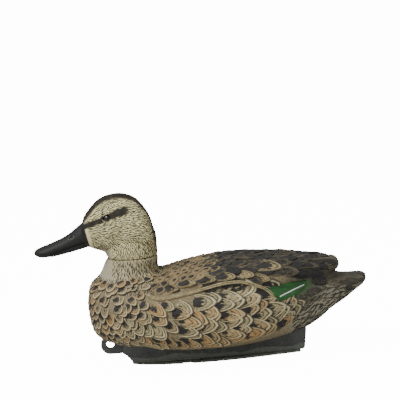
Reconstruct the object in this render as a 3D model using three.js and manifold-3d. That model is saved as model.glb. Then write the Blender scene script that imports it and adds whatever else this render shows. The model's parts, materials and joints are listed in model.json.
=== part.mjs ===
// Floating teal-hen decoy: a hollow moulded body with folded wings, a swivelling hollow head on a snap-in
// post, and a ballasted keel with a line loop. Millimetres, +Z up, bill towards -X, standing on its keel.
import * as THREE from "three";
import { mergeVertices } from "three/addons/utils/BufferGeometryUtils.js";
import Module from "manifold-3d";

const wasm = await Module();
wasm.setup();

// ---- Driving dimensions ----
const GAP = 0.3; // between pieces that touch
const BODY_WALL = 3;
const HEAD_WALL = 2.6;
const BODY_UPPER = 2.2; // roundness of a section's upper half: 2 is an ellipse, more is squarer
const BODY_LOWER = 2.9;
const WING_LOWER = 2;
const HEAD_ROUND = 2.15;

const NECK_X = -67; // axis that the head turns about
const NECK_RADIUS = 25;
const SEAM_Z = 109; // middle of the seam between collar and head
const SOCKET_RADIUS = 18;
const SOCKET_FLOOR_TOP = 101;
const SOCKET_FLOOR_BOTTOM = 98;
const SOCKET_HOLE_RADIUS = 7;

const PLATE_THICKNESS = 2.6;
const KEEL_FRONT = -84.5;
const KEEL_HEIGHT = 40; // before the hull is cut out of it
const KEEL_WALL = 2.4;
const POCKET_TOP = 10;
const KEEL_SCREW_X = [-57, 20, 66];
const PLATE_SCREW_X = [-67, 33, 80];
const SHANK_RADIUS = 1.5;

const LOOP_X = -96;
const LOOP_Z = 21;
const LOOP_RADIUS = 9.3;
const EYELET_RADIUS = 4.2;
const LOOP_THICKNESS = 8;

const SPIGOT_BOTTOM = 103;
const HEAD_FLOOR_Z = 113; // inside of the head's floor
const PILOT_RADIUS = 2.2; // hole that the post's screw cuts into
const VENT_OFFSET = 11; // moulding vent beside the pilot hole
const VENT_RADIUS = 2.5;
const EYE_RADIUS = 3.6;
const EYE_PLACE = new THREE.Vector3(-88.5, 18.9, 150.8);
const DRAIN_PLACE = new THREE.Vector2(46, 22);
const DRAIN_FACE_Z = 18.2;
const DRAIN_SEAT_TOP = DRAIN_FACE_Z + 3.8;
const DRAIN_BOSS_RADIUS = 9;
const DRAIN_FLANGE_RADIUS = 7.9;
const DRAIN_STEM_RADIUS = 4.7;
const SCREW_BOSS_RADIUS = 5;

// A row of a lengthwise shell is [x, top z, bottom z, half width, z of the widest point].
const HULL = [
  [-115, 64, 64, 0, 64],
  [-113.6, 76, 49.5, 17, 64],
  [-110, 85, 37.4, 32, 62.5],
  [-101, 90, 28.4, 45, 59.5],
  [-82, 93.5, 23.2, 58.5, 55.5],
  [-55, 95, 19, 67.5, 52],
  [-20, 96.5, 13.8, 71, 50.5],
  [20, 98, 13.6, 70.5, 50.5],
  [55, 96, 16.5, 63, 52.5],
  [82, 91, 21, 52.5, 56.5],
  [104, 85.5, 27.4, 42, 61.5],
  [124, 80, 40, 33.5, 65],
  [142, 76, 50.5, 27, 67],
  [156, 75.2, 61, 20, 69.5],
  [162.3, 73.4, 66.5, 10.5, 70.6],
  [164, 70.6, 70.6, 0, 70.6],
];
const WINGS = [
  [-50, 84, 84, 0, 84],
  [-48.5, 90, 77, 22, 84],
  [-41, 94, 71, 40, 84],
  [-22, 97.6, 68, 53.5, 83.5],
  [2, 102.6, 67, 58.5, 82.5],
  [28, 104.6, 66, 59, 82],
  [56, 103.8, 64, 55, 81.5],
  [80, 102.6, 64, 48.5, 81],
  [102, 99.6, 67.5, 39.5, 81],
  [121, 97, 74, 29, 83],
  [132, 95.2, 80, 18.5, 86],
  [136.6, 91.4, 83.6, 9, 86.6],
  [137.5, 86.6, 86.6, 0, 86.6],
];
const HEAD = [
  [-114.3, 134, 134, 0, 134],
  [-113.6, 146.4, 122.8, 12.4, 134],
  [-108, 155.8, 120.8, 15.8, 136],
  [-99.5, 165.6, 117, 19.5, 138],
  [-89, 171.5, 113.4, 22.5, 138.5],
  [-76, 173, 111, 24.8, 137],
  [-64, 168.8, 111, 25, 135],
  [-54, 158.6, 112, 23, 132],
  [-46.8, 144.2, 114, 18.5, 127],
  [-43.5, 125.5, 117, 11, 121.5],
  [-42.3, 121, 121, 0, 121],
];
const BILL = [
  [-164, 118.7, 118.7, 0, 118.7],
  [-161.8, 121.4, 116, 7.2, 118.6],
  [-156, 123.8, 114.2, 11, 118.6],
  [-148, 126.6, 114.4, 11.3, 119.4],
  [-138, 130.2, 115.4, 10.4, 122],
  [-128, 135.1, 117.3, 10.2, 125],
  [-120.5, 140.6, 118.9, 10.9, 128.4],
  [-112.5, 145.4, 120.8, 11.8, 131],
  [-107, 143, 124, 9, 133],
  [-105, 134, 134, 0, 134],
];
// A row of an upright shell is [z, front x, rear x, half width].
const COLLAR = [
  [68, -101, -34, 44],
  [80, -106, -36, 44.5],
  [89, -105.5, -39.5, 37.5],
  [97, -100.5, -41.6, 31],
  [103, -96, -42, 27],
  [SEAM_Z - GAP / 2, NECK_X - NECK_RADIUS, NECK_X + NECK_RADIUS, NECK_RADIUS],
];
const NECK = [
  [SEAM_Z + GAP / 2, NECK_X - NECK_RADIUS, NECK_X + NECK_RADIUS, NECK_RADIUS],
  [117, -94.5, -41.9, 24.8],
  [128, -97, -42.4, 23.6],
  [142, -92, -47, 19],
];
// Half widths of the keel's outline along x, as [x, half width].
const KEEL_PLAN = [
  [KEEL_FRONT, 4],
  [-74, 8.5],
  [-52, 13.5],
  [-20, 14.5],
  [15, 12],
  [50, 8.5],
  [80, 5.5],
  [100, 3.6],
];
const PLATE_PLAN = [
  [-75, 5],
  [-62, 12],
  [-38, 17.5],
  [-8, 20],
  [30, 17.5],
  [65, 11],
  [93, 4.5],
];

// ---- Solids ----
// A three.js geometry as a solid that can be joined and cut.
function solid(geometry) {
  const bare = geometry.clone();
  bare.deleteAttribute("normal");
  bare.deleteAttribute("uv");
  const merged = mergeVertices(bare, 1e-4);
  const kept = [];
  const index = merged.index.array;
  for (let i = 0; i < index.length; i += 3) {
    const [a, b, c] = index.subarray(i, i + 3);
    if (a !== b && b !== c && c !== a) kept.push(a, b, c);
  }
  const vertProperties = Float32Array.from(merged.attributes.position.array);
  return new wasm.Manifold(new wasm.Mesh({ numProp: 3, vertProperties, triVerts: Uint32Array.from(kept) }));
}

// A solid back as a three.js geometry.
function geometryOf(made) {
  const { vertProperties, triVerts } = made.getMesh();
  const geometry = new THREE.BufferGeometry();
  geometry.setAttribute("position", new THREE.BufferAttribute(Float32Array.from(vertProperties), 3));
  geometry.setIndex(new THREE.BufferAttribute(Uint32Array.from(triVerts), 1));
  geometry.computeVertexNormals();
  return geometry;
}

// Joins rings of points into one closed skin, and closes each end with a fan. Each ring runs
// anticlockwise seen from the last ring.
function skin(rings) {
  const around = rings[0].length;
  const points = rings.flat();
  const faces = [];
  for (let r = 0; r < rings.length - 1; r++) {
    for (let i = 0; i < around; i++) {
      const a = r * around + i;
      const b = r * around + ((i + 1) % around);
      faces.push(a, b, b + around, a, b + around, a + around);
    }
  }
  for (const end of [0, rings.length - 1]) {
    const middle = new THREE.Vector3();
    for (const point of rings[end]) middle.addScaledVector(point, 1 / around);
    const tip = points.push(middle) - 1;
    for (let i = 0; i < around; i++) {
      const a = end * around + i;
      const b = end * around + ((i + 1) % around);
      faces.push(...(end === 0 ? [b, a, tip] : [a, b, tip]));
    }
  }
  const geometry = new THREE.BufferGeometry().setFromPoints(points);
  geometry.setIndex(faces);
  return solid(geometry);
}

// A row of a table at t from 0 to 1. Each column follows its own curve, which never overshoots a row.
function smooth(rows, t) {
  const last = rows.length - 1;
  const from = Math.min(Math.floor(t * last), last - 1);
  const u = t * last - from;
  return rows[0].map((_, column) => {
    const step = (row) => rows[row + 1][column] - rows[row][column];
    const tangent = (row) => {
      if (row === 0) return step(0);
      if (row === last) return step(last - 1);
      const [before, after] = [step(row - 1), step(row)];
      return before * after > 0 ? (2 * before * after) / (before + after) : 0;
    };
    const [a, b] = [rows[from][column], rows[from + 1][column]];
    const ease = u * u * (3 - 2 * u);
    return a + (b - a) * ease + tangent(from) * u * (1 - u) ** 2 - tangent(from + 1) * u * u * (1 - u);
  });
}

// A shell that runs along X through sections of the given roundness.
function lengthwise(rows, steps, around, upper, lower) {
  const rings = [];
  for (let s = 0; s <= steps; s++) {
    const [x, top, bottom, halfWidth, widest] = smooth(rows, s / steps);
    const ring = [];
    for (let i = 0; i < around; i++) {
      const angle = (2 * Math.PI * i) / around;
      const above = Math.sin(angle) > 0;
      const power = 2 / (above ? upper : lower);
      const across = Math.sign(Math.cos(angle)) * Math.abs(Math.cos(angle)) ** power;
      const up = Math.sign(Math.sin(angle)) * Math.abs(Math.sin(angle)) ** power;
      const height = above ? top - widest : widest - bottom;
      ring.push(new THREE.Vector3(x, Math.max(halfWidth, 0) * across, widest + height * up));
    }
    rings.push(ring);
  }
  return skin(rings);
}

// A shell that stands upright through ellipses.
function upright(rows, steps, around) {
  const rings = [];
  for (let s = 0; s <= steps; s++) {
    const [z, front, rear, halfWidth] = smooth(rows, s / steps);
    const ring = [];
    for (let i = 0; i < around; i++) {
      const angle = (2 * Math.PI * i) / around;
      const x = (front + rear) / 2 + ((rear - front) / 2) * Math.cos(angle);
      ring.push(new THREE.Vector3(x, halfWidth * Math.sin(angle), z));
    }
    rings.push(ring);
  }
  return skin(rings);
}

// Rows of a lengthwise shell moved inwards by a wall, or outwards by a negative one.
function offset(rows, wall) {
  const low = rows[0][0];
  const high = rows[rows.length - 1][0];
  const shrink = (high - low - 2 * wall) / (high - low);
  const middle = (low + high) / 2;
  return rows.map(([x, top, bottom, halfWidth, widest]) => {
    const thick = top - bottom > 2 * wall;
    const centre = (top + bottom) / 2;
    return [
      middle + (x - middle) * shrink,
      thick ? top - wall : centre,
      thick ? bottom + wall : centre,
      halfWidth > 0 ? Math.max(halfWidth - wall, 0.5) : 0,
      widest,
    ];
  });
}

// Makes a row of an upright shell thinner all round.
const thinned = (wall) => ([z, front, rear, halfWidth]) => [z, front + wall, rear - wall, halfWidth - wall];

// An upright cylinder between two heights.
function rod(x, y, radius, low, high, segments = 24) {
  const geometry = new THREE.CylinderGeometry(radius, radius, high - low, segments);
  geometry.rotateX(Math.PI / 2).translate(x, y, (low + high) / 2);
  return solid(geometry);
}

function block(x0, x1, halfWidth, z0, z1) {
  const geometry = new THREE.BoxGeometry(x1 - x0, 2 * halfWidth, z1 - z0);
  geometry.translate((x0 + x1) / 2, 0, (z0 + z1) / 2);
  return solid(geometry);
}

function ball(centre, radius, around = 16) {
  const geometry = new THREE.SphereGeometry(radius, around, Math.round(around * 0.7));
  geometry.translate(centre.x, centre.y, centre.z);
  return solid(geometry);
}

// A turned piece about an upright axis. The profile is a list of [radius, z], from the top down.
function turned(x, y, profile, segments = 24) {
  const points = profile.map(([radius, z]) => new THREE.Vector2(radius, z));
  const geometry = new THREE.LatheGeometry(points, segments);
  geometry.rotateX(Math.PI / 2).translate(x, y, 0);
  const made = solid(geometry);
  return made.volume() < 0 ? solid(flipped(geometry)) : made;
}

function flipped(geometry) {
  const index = geometry.index.array;
  for (let i = 0; i < index.length; i += 3) [index[i + 1], index[i + 2]] = [index[i + 2], index[i + 1]];
  return geometry;
}

// A flat plate whose outline is mirrored about the centre line, extruded upwards.
function boatPlate(plan, z0, z1, inset = 0, bevel = 0) {
  const half = plan.map(([x, halfWidth]) => new THREE.Vector2(x, halfWidth));
  const side = new THREE.SplineCurve(half).getPoints(3 * plan.length);
  const inner = side.map((p) => new THREE.Vector2(p.x, Math.max(p.y - inset, 0.6)));
  inner[0].x += inset;
  inner[inner.length - 1].x -= inset;
  const outline = [...inner, ...inner.map((p) => new THREE.Vector2(p.x, -p.y)).reverse()];
  const shape = new THREE.Shape(outline.reverse());
  const geometry = new THREE.ExtrudeGeometry(shape, {
    depth: z1 - z0 - 2 * bevel,
    bevelEnabled: bevel > 0,
    bevelThickness: bevel,
    bevelSize: bevel,
    bevelOffset: -bevel,
    bevelSegments: 1,
  });
  geometry.translate(0, 0, z0 + bevel);
  return solid(geometry);
}

// A side profile in the XZ plane, extruded across the centre line.
function sideProfile(points, halfWidth) {
  const shape = new THREE.Shape(points.map(([x, z]) => new THREE.Vector2(x, z)));
  const geometry = new THREE.ExtrudeGeometry(shape, { depth: 2 * halfWidth, bevelEnabled: false });
  geometry.translate(0, 0, -halfWidth).rotateX(Math.PI / 2);
  return solid(geometry);
}

const joined = (solids) => solids.reduce((a, b) => a.add(b));

// ---- Finishes ----
const finish = (color, roughness, metalness = 0) =>
  new THREE.MeshStandardMaterial({ color, roughness, metalness });
const FEATHER_PAINT = finish(0x9a8a6c, 0.8);
const HEAD_PAINT = finish(0xb8ad8c, 0.8);
const GLASS_EYE = finish(0x0b0a09, 0.08);
const KEEL_PLASTIC = finish(0x3a3b38, 0.6);
const STEEL = finish(0xa8aaad, 0.35, 1);
const IRON = finish(0x55534f, 0.7, 0.9);
const NYLON = finish(0xd8d4c8, 0.5);
const RUBBER = finish(0x1c1c1c, 0.85);

const decoy = new THREE.Group();
function add(name, made, material) {
  const mesh = new THREE.Mesh(geometryOf(made), material);
  mesh.name = name;
  decoy.add(mesh);
}

// ---- Body shell: hull, folded wings and neck collar in one hollow moulding ----
const hullOf = (rows) => lengthwise(rows, 30, 28, BODY_UPPER, BODY_LOWER);
const wings = lengthwise(WINGS, 24, 24, BODY_UPPER, WING_LOWER);
const collar = upright(COLLAR, 5, 32);
const bodyOutside = joined([hullOf(HULL), wings, collar]);

// The hollow stops before the thin tail and the wing tips, which are solid.
const hullRows = [...HULL.slice(0, 11), [112, 70, 50, 0, 62]];
const wingRows = [...WINGS.slice(0, 9), [108, 84, 84, 0, 84]];
const hullCavity = lengthwise(offset(hullRows, BODY_WALL), 11, 18, BODY_UPPER, BODY_LOWER);
const wingCavity = lengthwise(offset(wingRows, BODY_WALL), 8, 16, BODY_UPPER, WING_LOWER);
const collarRows = COLLAR.slice(0, 5).map(thinned(2 * BODY_WALL));
const collarCavity = upright(collarRows, 3, 20).subtract(block(-200, 200, 100, SOCKET_FLOOR_BOTTOM, 200));
const screwBosses = KEEL_SCREW_X.map((x) => rod(x, 0, SCREW_BOSS_RADIUS, 8, 30, 12));
const drainBoss = rod(DRAIN_PLACE.x, DRAIN_PLACE.y, DRAIN_BOSS_RADIUS, 8, DRAIN_SEAT_TOP, 16);
const bosses = joined([...screwBosses, drainBoss]);
const bodyCavity = joined([hullCavity, wingCavity, collarCavity]).subtract(bosses);

const bodyHoles = joined([
  rod(NECK_X, 0, SOCKET_RADIUS, SOCKET_FLOOR_TOP, SEAM_Z + 11, 32),
  rod(NECK_X, 0, SOCKET_HOLE_RADIUS, SOCKET_FLOOR_BOTTOM - 8, SOCKET_FLOOR_TOP + 1),
  ...KEEL_SCREW_X.map((x) => rod(x, 0, SHANK_RADIUS + GAP, 0, 28, 12)),
  rod(DRAIN_PLACE.x, DRAIN_PLACE.y, DRAIN_FLANGE_RADIUS + 0.4, 0, DRAIN_FACE_Z, 20),
  rod(DRAIN_PLACE.x, DRAIN_PLACE.y, DRAIN_STEM_RADIUS + GAP, 0, 40),
]);
add("body_shell", bodyOutside.subtract(bodyCavity).subtract(bodyHoles), FEATHER_PAINT);

// ---- Head shell: skull, bill and neck in one hollow moulding, with a spigot below ----
const bill = lengthwise(BILL, 16, 18, 2, 2.2);
const skull = lengthwise(HEAD, 20, 26, HEAD_ROUND, HEAD_ROUND);
const headOutside = joined([skull, upright(NECK, 4, 32), bill]);
const spigot = rod(NECK_X, 0, SOCKET_RADIUS - 0.4, SPIGOT_BOTTOM, SEAM_Z + 2, 32);
const eyePlaces = [1, -1].map((side) => new THREE.Vector3(EYE_PLACE.x, side * EYE_PLACE.y, EYE_PLACE.z));
const neckRows = NECK.map(thinned(HEAD_WALL)).map(([z, ...row]) => [Math.max(z, HEAD_FLOOR_Z), ...row]);
const headBosses = joined([
  ...eyePlaces.map((place) => ball(place, EYE_RADIUS + HEAD_WALL, 12)),
  rod(NECK_X, 0, 6, SPIGOT_BOTTOM + 2, 123, 12),
]);
const skullCavity = lengthwise(offset(HEAD.slice(1), HEAD_WALL), 9, 16, HEAD_ROUND, HEAD_ROUND);
const headCavity = skullCavity.add(upright(neckRows, 2, 18)).subtract(headBosses);
const headHoles = joined([
  ...eyePlaces.map((place) => ball(place, EYE_RADIUS + GAP)),
  rod(NECK_X, 0, PILOT_RADIUS, 100, 119, 12),
  rod(NECK_X + VENT_OFFSET, 0, VENT_RADIUS, 100, 116, 12),
]);
add("head_shell", headOutside.add(spigot).subtract(headCavity).subtract(headHoles), HEAD_PAINT);
["eye_right", "eye_left"].forEach((name, i) => add(name, ball(eyePlaces[i], EYE_RADIUS), GLASS_EYE));

// ---- Swivel: barbed post, its screw, and the washer that holds the head where it is turned ----
// A pan-head screw that points up: head radius, head height and a cross recess in its underside.
function panScrew(x, seat, headRadius, headHeight, shankRadius, tip) {
  const low = seat - headHeight;
  const body = turned(
    x,
    0,
    [
      [0, tip],
      [shankRadius, tip - 1.5],
      [shankRadius, seat],
      [headRadius, seat],
      [headRadius, low + headHeight * 0.4],
      [headRadius * 0.7, low],
      [0, low],
    ],
    16,
  );
  return crossCut(body, x, low, headRadius, headHeight);
}
function crossCut(body, x, low, headRadius, depth) {
  const arm = headRadius * 0.55;
  const half = headRadius * 0.13;
  const top = low + depth * 0.55;
  const across = block(x - arm, x + arm, half, low - 1, top);
  const along = block(x - half, x + half, arm, low - 1, top);
  return body.subtract(across).subtract(along);
}
const POST_TOP = SOCKET_FLOOR_TOP + 1.7;
const POST_RADIUS = 6.5;
const POST_BORE = 2.2;
const BARB_RADIUS = 8.8; // wider than the hole it is pushed through
const BARB_LENGTH = 8;
const SEAT_DEPTH = 5; // of the screw's head inside the post
const HEAD_ROOM = 4.7;
const SLOT = 0.8;
const postBlank = turned(NECK_X, 0, [
  [POST_BORE, POST_TOP],
  [POST_RADIUS, POST_TOP],
  [POST_RADIUS, SOCKET_FLOOR_BOTTOM - 0.4],
  [BARB_RADIUS, SOCKET_FLOOR_BOTTOM - 0.6],
  [BARB_RADIUS, SOCKET_FLOOR_BOTTOM - 2],
  [POST_RADIUS, SOCKET_FLOOR_BOTTOM - BARB_LENGTH],
  [HEAD_ROOM, SOCKET_FLOOR_BOTTOM - BARB_LENGTH],
  [HEAD_ROOM, SOCKET_FLOOR_BOTTOM - SEAT_DEPTH],
  [POST_BORE, SOCKET_FLOOR_BOTTOM - SEAT_DEPTH],
  [POST_BORE, POST_TOP],
]);
const postSlots = [
  block(NECK_X - 12, NECK_X + 12, SLOT, 80, SOCKET_FLOOR_BOTTOM + 1),
  block(NECK_X - SLOT, NECK_X + SLOT, 12, 80, SOCKET_FLOOR_BOTTOM + 1),
];
add("swivel_post", postBlank.subtract(joined(postSlots)), NYLON);
add("swivel_screw", panScrew(NECK_X, SOCKET_FLOOR_BOTTOM - SEAT_DEPTH - GAP, 4, 2.4, 1.9, 117), STEEL);
const washerDisc = rod(NECK_X, 0, SOCKET_RADIUS - 1, SOCKET_FLOOR_TOP + GAP, POST_TOP, 32);
add("friction_washer", washerDisc.subtract(rod(NECK_X, 0, POST_RADIUS + 1.1, 90, 110)), RUBBER);

// ---- Keel housing: deeper at the front, open below, screwed up into the belly ----
const hullWithGap = hullOf(offset(HULL, -GAP));
const keelSide = sideProfile(
  [
    [KEEL_FRONT, KEEL_HEIGHT],
    [KEEL_FRONT, 11.6],
    [-80.5, 9.6],
    [-77.5, 6.4],
    [-74.6, PLATE_THICKNESS + GAP],
    [96, PLATE_THICKNESS + GAP],
    [97.6, 5],
    [99.8, 22],
    [99.8, KEEL_HEIGHT],
  ],
  40,
);
const [tongueFront, tongueRear, tongueHalf, tongueLow, tongueHigh] = [-85.5, -79.5, 1.6, 12.8, 18.2];
const tongueWithGap = (gap) =>
  block(tongueFront - gap, tongueRear + gap, tongueHalf + gap, tongueLow - gap, tongueHigh + gap);
const plateBosses = PLATE_SCREW_X.map((x) => rod(x, 0, 4, PLATE_THICKNESS + GAP, POCKET_TOP + 0.5, 16));
const keelScrewSeats = KEEL_SCREW_X.map((x) => rod(x, 0, SHANK_RADIUS + GAP, 0, KEEL_HEIGHT, 12));
const pocket = boatPlate(KEEL_PLAN.slice(1), 0, POCKET_TOP, KEEL_WALL).subtract(joined(plateBosses));
const keelHousing = boatPlate(KEEL_PLAN, PLATE_THICKNESS + GAP, KEEL_HEIGHT)
  .intersect(keelSide)
  .subtract(hullWithGap)
  .subtract(pocket)
  .subtract(tongueWithGap(GAP))
  .subtract(joined(keelScrewSeats))
  .subtract(joined(PLATE_SCREW_X.map((x) => rod(x, 0, SHANK_RADIUS + GAP, 0, 12, 12))));
add("keel_housing", keelHousing, KEEL_PLASTIC);

// ---- Line loop: a flat ring with a tongue that plugs into the front of the housing ----
function acrossDisc(x, z, radius, halfWidth, segments) {
  const geometry = new THREE.CylinderGeometry(radius, radius, 2 * halfWidth, segments);
  geometry.translate(x, 0, z);
  return solid(geometry);
}
const loopBlank = joined([
  acrossDisc(LOOP_X, LOOP_Z, LOOP_RADIUS, LOOP_THICKNESS / 2, 32),
  block(LOOP_X, KEEL_FRONT - GAP, LOOP_THICKNESS / 2, LOOP_Z - LOOP_RADIUS, 30),
  tongueWithGap(0),
]);
add(
  "line_loop",
  loopBlank.subtract(hullWithGap).subtract(acrossDisc(LOOP_X, LOOP_Z, EYELET_RADIUS, 20, 28)),
  KEEL_PLASTIC,
);

// ---- Base plate: the flange that closes the keel and that the decoy stands on ----
const CONE_RADIUS = 3.4; // of a countersunk head
const CONE_TOP = 2.2;
const CONE_FACE = 0.35;
const countersink = (x) =>
  turned(
    x,
    0,
    [
      [0, 14],
      [SHANK_RADIUS + GAP, 14],
      [SHANK_RADIUS + GAP, CONE_TOP],
      [CONE_RADIUS + GAP, CONE_FACE],
      [CONE_RADIUS + GAP, -1],
      [0, -1],
    ],
    16,
  );
const [NOTCH_X, NOTCH_HALF_LENGTH, NOTCH_INNER] = [-19.8, 4.8, 15.8]; // an edge slot for a wound cord
const notchX = [NOTCH_X - NOTCH_HALF_LENGTH, NOTCH_X + NOTCH_HALF_LENGTH];
const notch = block(...notchX, 40, -1, 5).subtract(block(NOTCH_X - 6, NOTCH_X + 6, NOTCH_INNER, -2, 6));
const plateHoles = joined(PLATE_SCREW_X.map(countersink));
const plate = boatPlate(PLATE_PLAN, 0, PLATE_THICKNESS, 0, 0.5);
add("keel_base_plate", plate.subtract(notch).subtract(plateHoles), KEEL_PLASTIC);

// ---- Ballast: a cast bar in the deep front of the keel ----
const ballastPlan = [
  [-50, 4],
  [-44, 8.4],
  [-20, 9.6],
  [2, 8.4],
  [10, 4.5],
];
add("ballast_bar", boatPlate(ballastPlan, PLATE_THICKNESS + GAP, POCKET_TOP - 1, 0, 1), IRON);

// ---- Screws ----
KEEL_SCREW_X.forEach((x, i) =>
  add(`keel_screw_${i + 1}`, panScrew(x, POCKET_TOP - GAP, 3.3, 2.2, SHANK_RADIUS, 27), STEEL),
);
PLATE_SCREW_X.forEach((x, i) => {
  const blank = turned(
    x,
    0,
    [
      [0, 11.5],
      [SHANK_RADIUS, 10.2],
      [SHANK_RADIUS, CONE_TOP],
      [CONE_RADIUS, CONE_FACE],
      [0, CONE_FACE],
    ],
    16,
  );
  add(`plate_screw_${i + 1}`, crossCut(blank, x, CONE_FACE, CONE_RADIUS, CONE_TOP), STEEL);
});

// ---- Drain plug: a rubber bung in the belly ----
add(
  "drain_plug",
  turned(DRAIN_PLACE.x, DRAIN_PLACE.y, [
    [0, DRAIN_FACE_Z + 8.4],
    [3.6, DRAIN_FACE_Z + 8.4],
    [5.6, DRAIN_FACE_Z + 5.2],
    [5.6, DRAIN_FACE_Z + 4.6],
    [DRAIN_STEM_RADIUS, DRAIN_FACE_Z + 4.3],
    [DRAIN_STEM_RADIUS, DRAIN_FACE_Z - GAP],
    [DRAIN_FLANGE_RADIUS - GAP, DRAIN_FACE_Z - GAP],
    [DRAIN_FLANGE_RADIUS, DRAIN_FACE_Z - 1.2],
    [7, DRAIN_FACE_Z - 2.2],
    [0, DRAIN_FACE_Z - 2.2],
  ]),
  RUBBER,
);

export default decoy;
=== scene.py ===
"""A moulded teal-hen decoy: carved, painted body, a head that turns, and a ballasted keel with line loop."""

import json
import math
import random

import bmesh
import bpy
import numpy as np
from mathutils import Matrix, Vector
from mathutils.bvhtree import BVHTree


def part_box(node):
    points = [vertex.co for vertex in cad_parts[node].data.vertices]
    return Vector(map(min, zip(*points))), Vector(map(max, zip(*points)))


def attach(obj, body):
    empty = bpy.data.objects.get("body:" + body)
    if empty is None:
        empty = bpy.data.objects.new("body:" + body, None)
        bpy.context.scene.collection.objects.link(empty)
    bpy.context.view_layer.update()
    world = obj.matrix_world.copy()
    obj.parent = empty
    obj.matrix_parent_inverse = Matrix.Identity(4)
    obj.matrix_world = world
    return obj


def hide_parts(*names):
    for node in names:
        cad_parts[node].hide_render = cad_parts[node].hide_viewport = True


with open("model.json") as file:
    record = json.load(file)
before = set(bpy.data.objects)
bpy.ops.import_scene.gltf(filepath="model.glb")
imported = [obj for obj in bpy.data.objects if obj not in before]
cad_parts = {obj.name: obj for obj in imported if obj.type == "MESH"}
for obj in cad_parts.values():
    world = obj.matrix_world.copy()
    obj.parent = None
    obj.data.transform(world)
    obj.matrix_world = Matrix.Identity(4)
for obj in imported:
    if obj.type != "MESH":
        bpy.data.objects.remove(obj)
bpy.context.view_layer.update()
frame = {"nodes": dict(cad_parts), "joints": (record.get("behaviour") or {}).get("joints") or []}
MM = 0.001

# ---- Camera ----
# It looks level with the duck's left side from a little above, through a long lens, and is rolled so that
# the tail rides higher than the bill.
ELEVATION = math.radians(12)
ROLL = math.radians(4.2)
DISTANCE = 2.0
SENSOR_WIDTH = 36
FRAME_WIDTH = 0.3984
AIM_ABOVE_KEEL = 0.1576
AIM_AHEAD = 0.0078


def direction(azimuth, elevation):
    """A unit vector that points from the object towards a viewer; azimuth 0 is its left side."""
    return Vector(
        (
            math.sin(azimuth) * math.cos(elevation),
            -math.cos(azimuth) * math.cos(elevation),
            math.sin(elevation),
        )
    )


def looking(position, target, roll=0.0):
    """The turn of a camera or a light that looks from position to target."""
    level = (target - position).to_track_quat("-Z", "Y").to_matrix()
    return (level @ Matrix.Rotation(roll, 3, "Z")).to_4x4()


toward_viewer = direction(0, ELEVATION)
picture_up = Vector((0, math.sin(ELEVATION), math.cos(ELEVATION)))
picture_right = Vector((1, 0, 0))
rolled_right = picture_right * math.cos(ROLL) - picture_up * math.sin(ROLL)
rolled_up = picture_right * math.sin(ROLL) + picture_up * math.cos(ROLL)
middle = Vector((0, 0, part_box("body_shell")[1][2] / 2))
camera_place = middle + toward_viewer * DISTANCE
target = rolled_up * AIM_ABOVE_KEEL - rolled_right * AIM_AHEAD
camera = bpy.data.objects.new("camera", bpy.data.cameras.new("camera"))
camera.data.sensor_width = SENSOR_WIDTH
camera.data.lens = SENSOR_WIDTH * DISTANCE / FRAME_WIDTH
camera.matrix_world = Matrix.Translation(camera_place) @ looking(camera_place, target, -ROLL)
bpy.context.scene.collection.objects.link(camera)
bpy.context.scene.camera = camera

# ---- Studio ----
# A plain pale floor under a pale sky, with a broad soft lamp high on the bill's side and a weaker one on the
# tail's. The floor is lit from below as well, as a product table is, and that glow reaches no piece.
PAPER_GLOW = 14
PAPER_SHADE = 0.62
PAPER_REACH = 9
SKY = 0.55
LAMP_DISTANCE = 1.5
LAMPS = (
    # name, azimuth, elevation, size in metres, watts
    ("key", -48, 56, 0.7, 24),
    ("fill", 62, 34, 1.2, 3.5),
)


def node(tree, kind, inputs=None, **settings):
    """A new node in a tree, with its settings, and with each input linked or given a value."""
    made = tree.nodes.new(kind)
    for name, value in settings.items():
        setattr(made, name, value)
    for key, value in (inputs or {}).items():
        if isinstance(value, bpy.types.NodeSocket):
            tree.links.new(value, made.inputs[key])
        else:
            made.inputs[key].default_value = value
    return made


def new_material(name, roughness, **constants):
    """A material with a bare Principled shader, and that shader."""
    material = bpy.data.materials.new(name)
    material.use_nodes = True
    shader = material.node_tree.nodes["Principled BSDF"]
    shader.inputs["Roughness"].default_value = roughness
    for key, value in constants.items():
        shader.inputs[key.replace("_", " ")].default_value = value
    return material, shader


floor_mesh = bpy.data.meshes.new("floor")
floor_corners = [(PAPER_REACH * i, PAPER_REACH * j, 0) for i, j in ((-1, -1), (1, -1), (1, 1), (-1, 1))]
floor_mesh.from_pydata(floor_corners, [], [(0, 1, 2, 3)])
floor = bpy.data.objects.new("floor", floor_mesh)
floor_material, floor_shader = new_material("floor_paper", 0.9)
floor_shader.inputs["Base Color"].default_value = (PAPER_SHADE, PAPER_SHADE, PAPER_SHADE, 1)
floor_shader.inputs["Emission Color"].default_value = (1, 1, 1, 1)
tree = floor_material.node_tree
ray = node(tree, "ShaderNodeLightPath")
glow = node(tree, "ShaderNodeMath", {0: ray.outputs["Is Camera Ray"], 1: PAPER_GLOW}, operation="MULTIPLY")
tree.links.new(glow.outputs[0], floor_shader.inputs["Emission Strength"])
floor_mesh.materials.append(floor_material)
bpy.context.scene.collection.objects.link(floor)

world = bpy.data.worlds.new("studio")
world.use_nodes = True
world.node_tree.nodes["Background"].inputs["Color"].default_value = (1, 1, 1, 1)
world.node_tree.nodes["Background"].inputs["Strength"].default_value = SKY
bpy.context.scene.world = world
for lamp_name, azimuth, height, size, power in LAMPS:
    lamp = bpy.data.objects.new(lamp_name, bpy.data.lights.new(lamp_name, "AREA"))
    lamp.data.size = size
    lamp.data.energy = power
    lamp_place = middle + direction(math.radians(azimuth), math.radians(height)) * LAMP_DISTANCE
    lamp.matrix_world = Matrix.Translation(lamp_place) @ looking(lamp_place, middle)
    bpy.context.scene.collection.objects.link(lamp)

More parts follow.
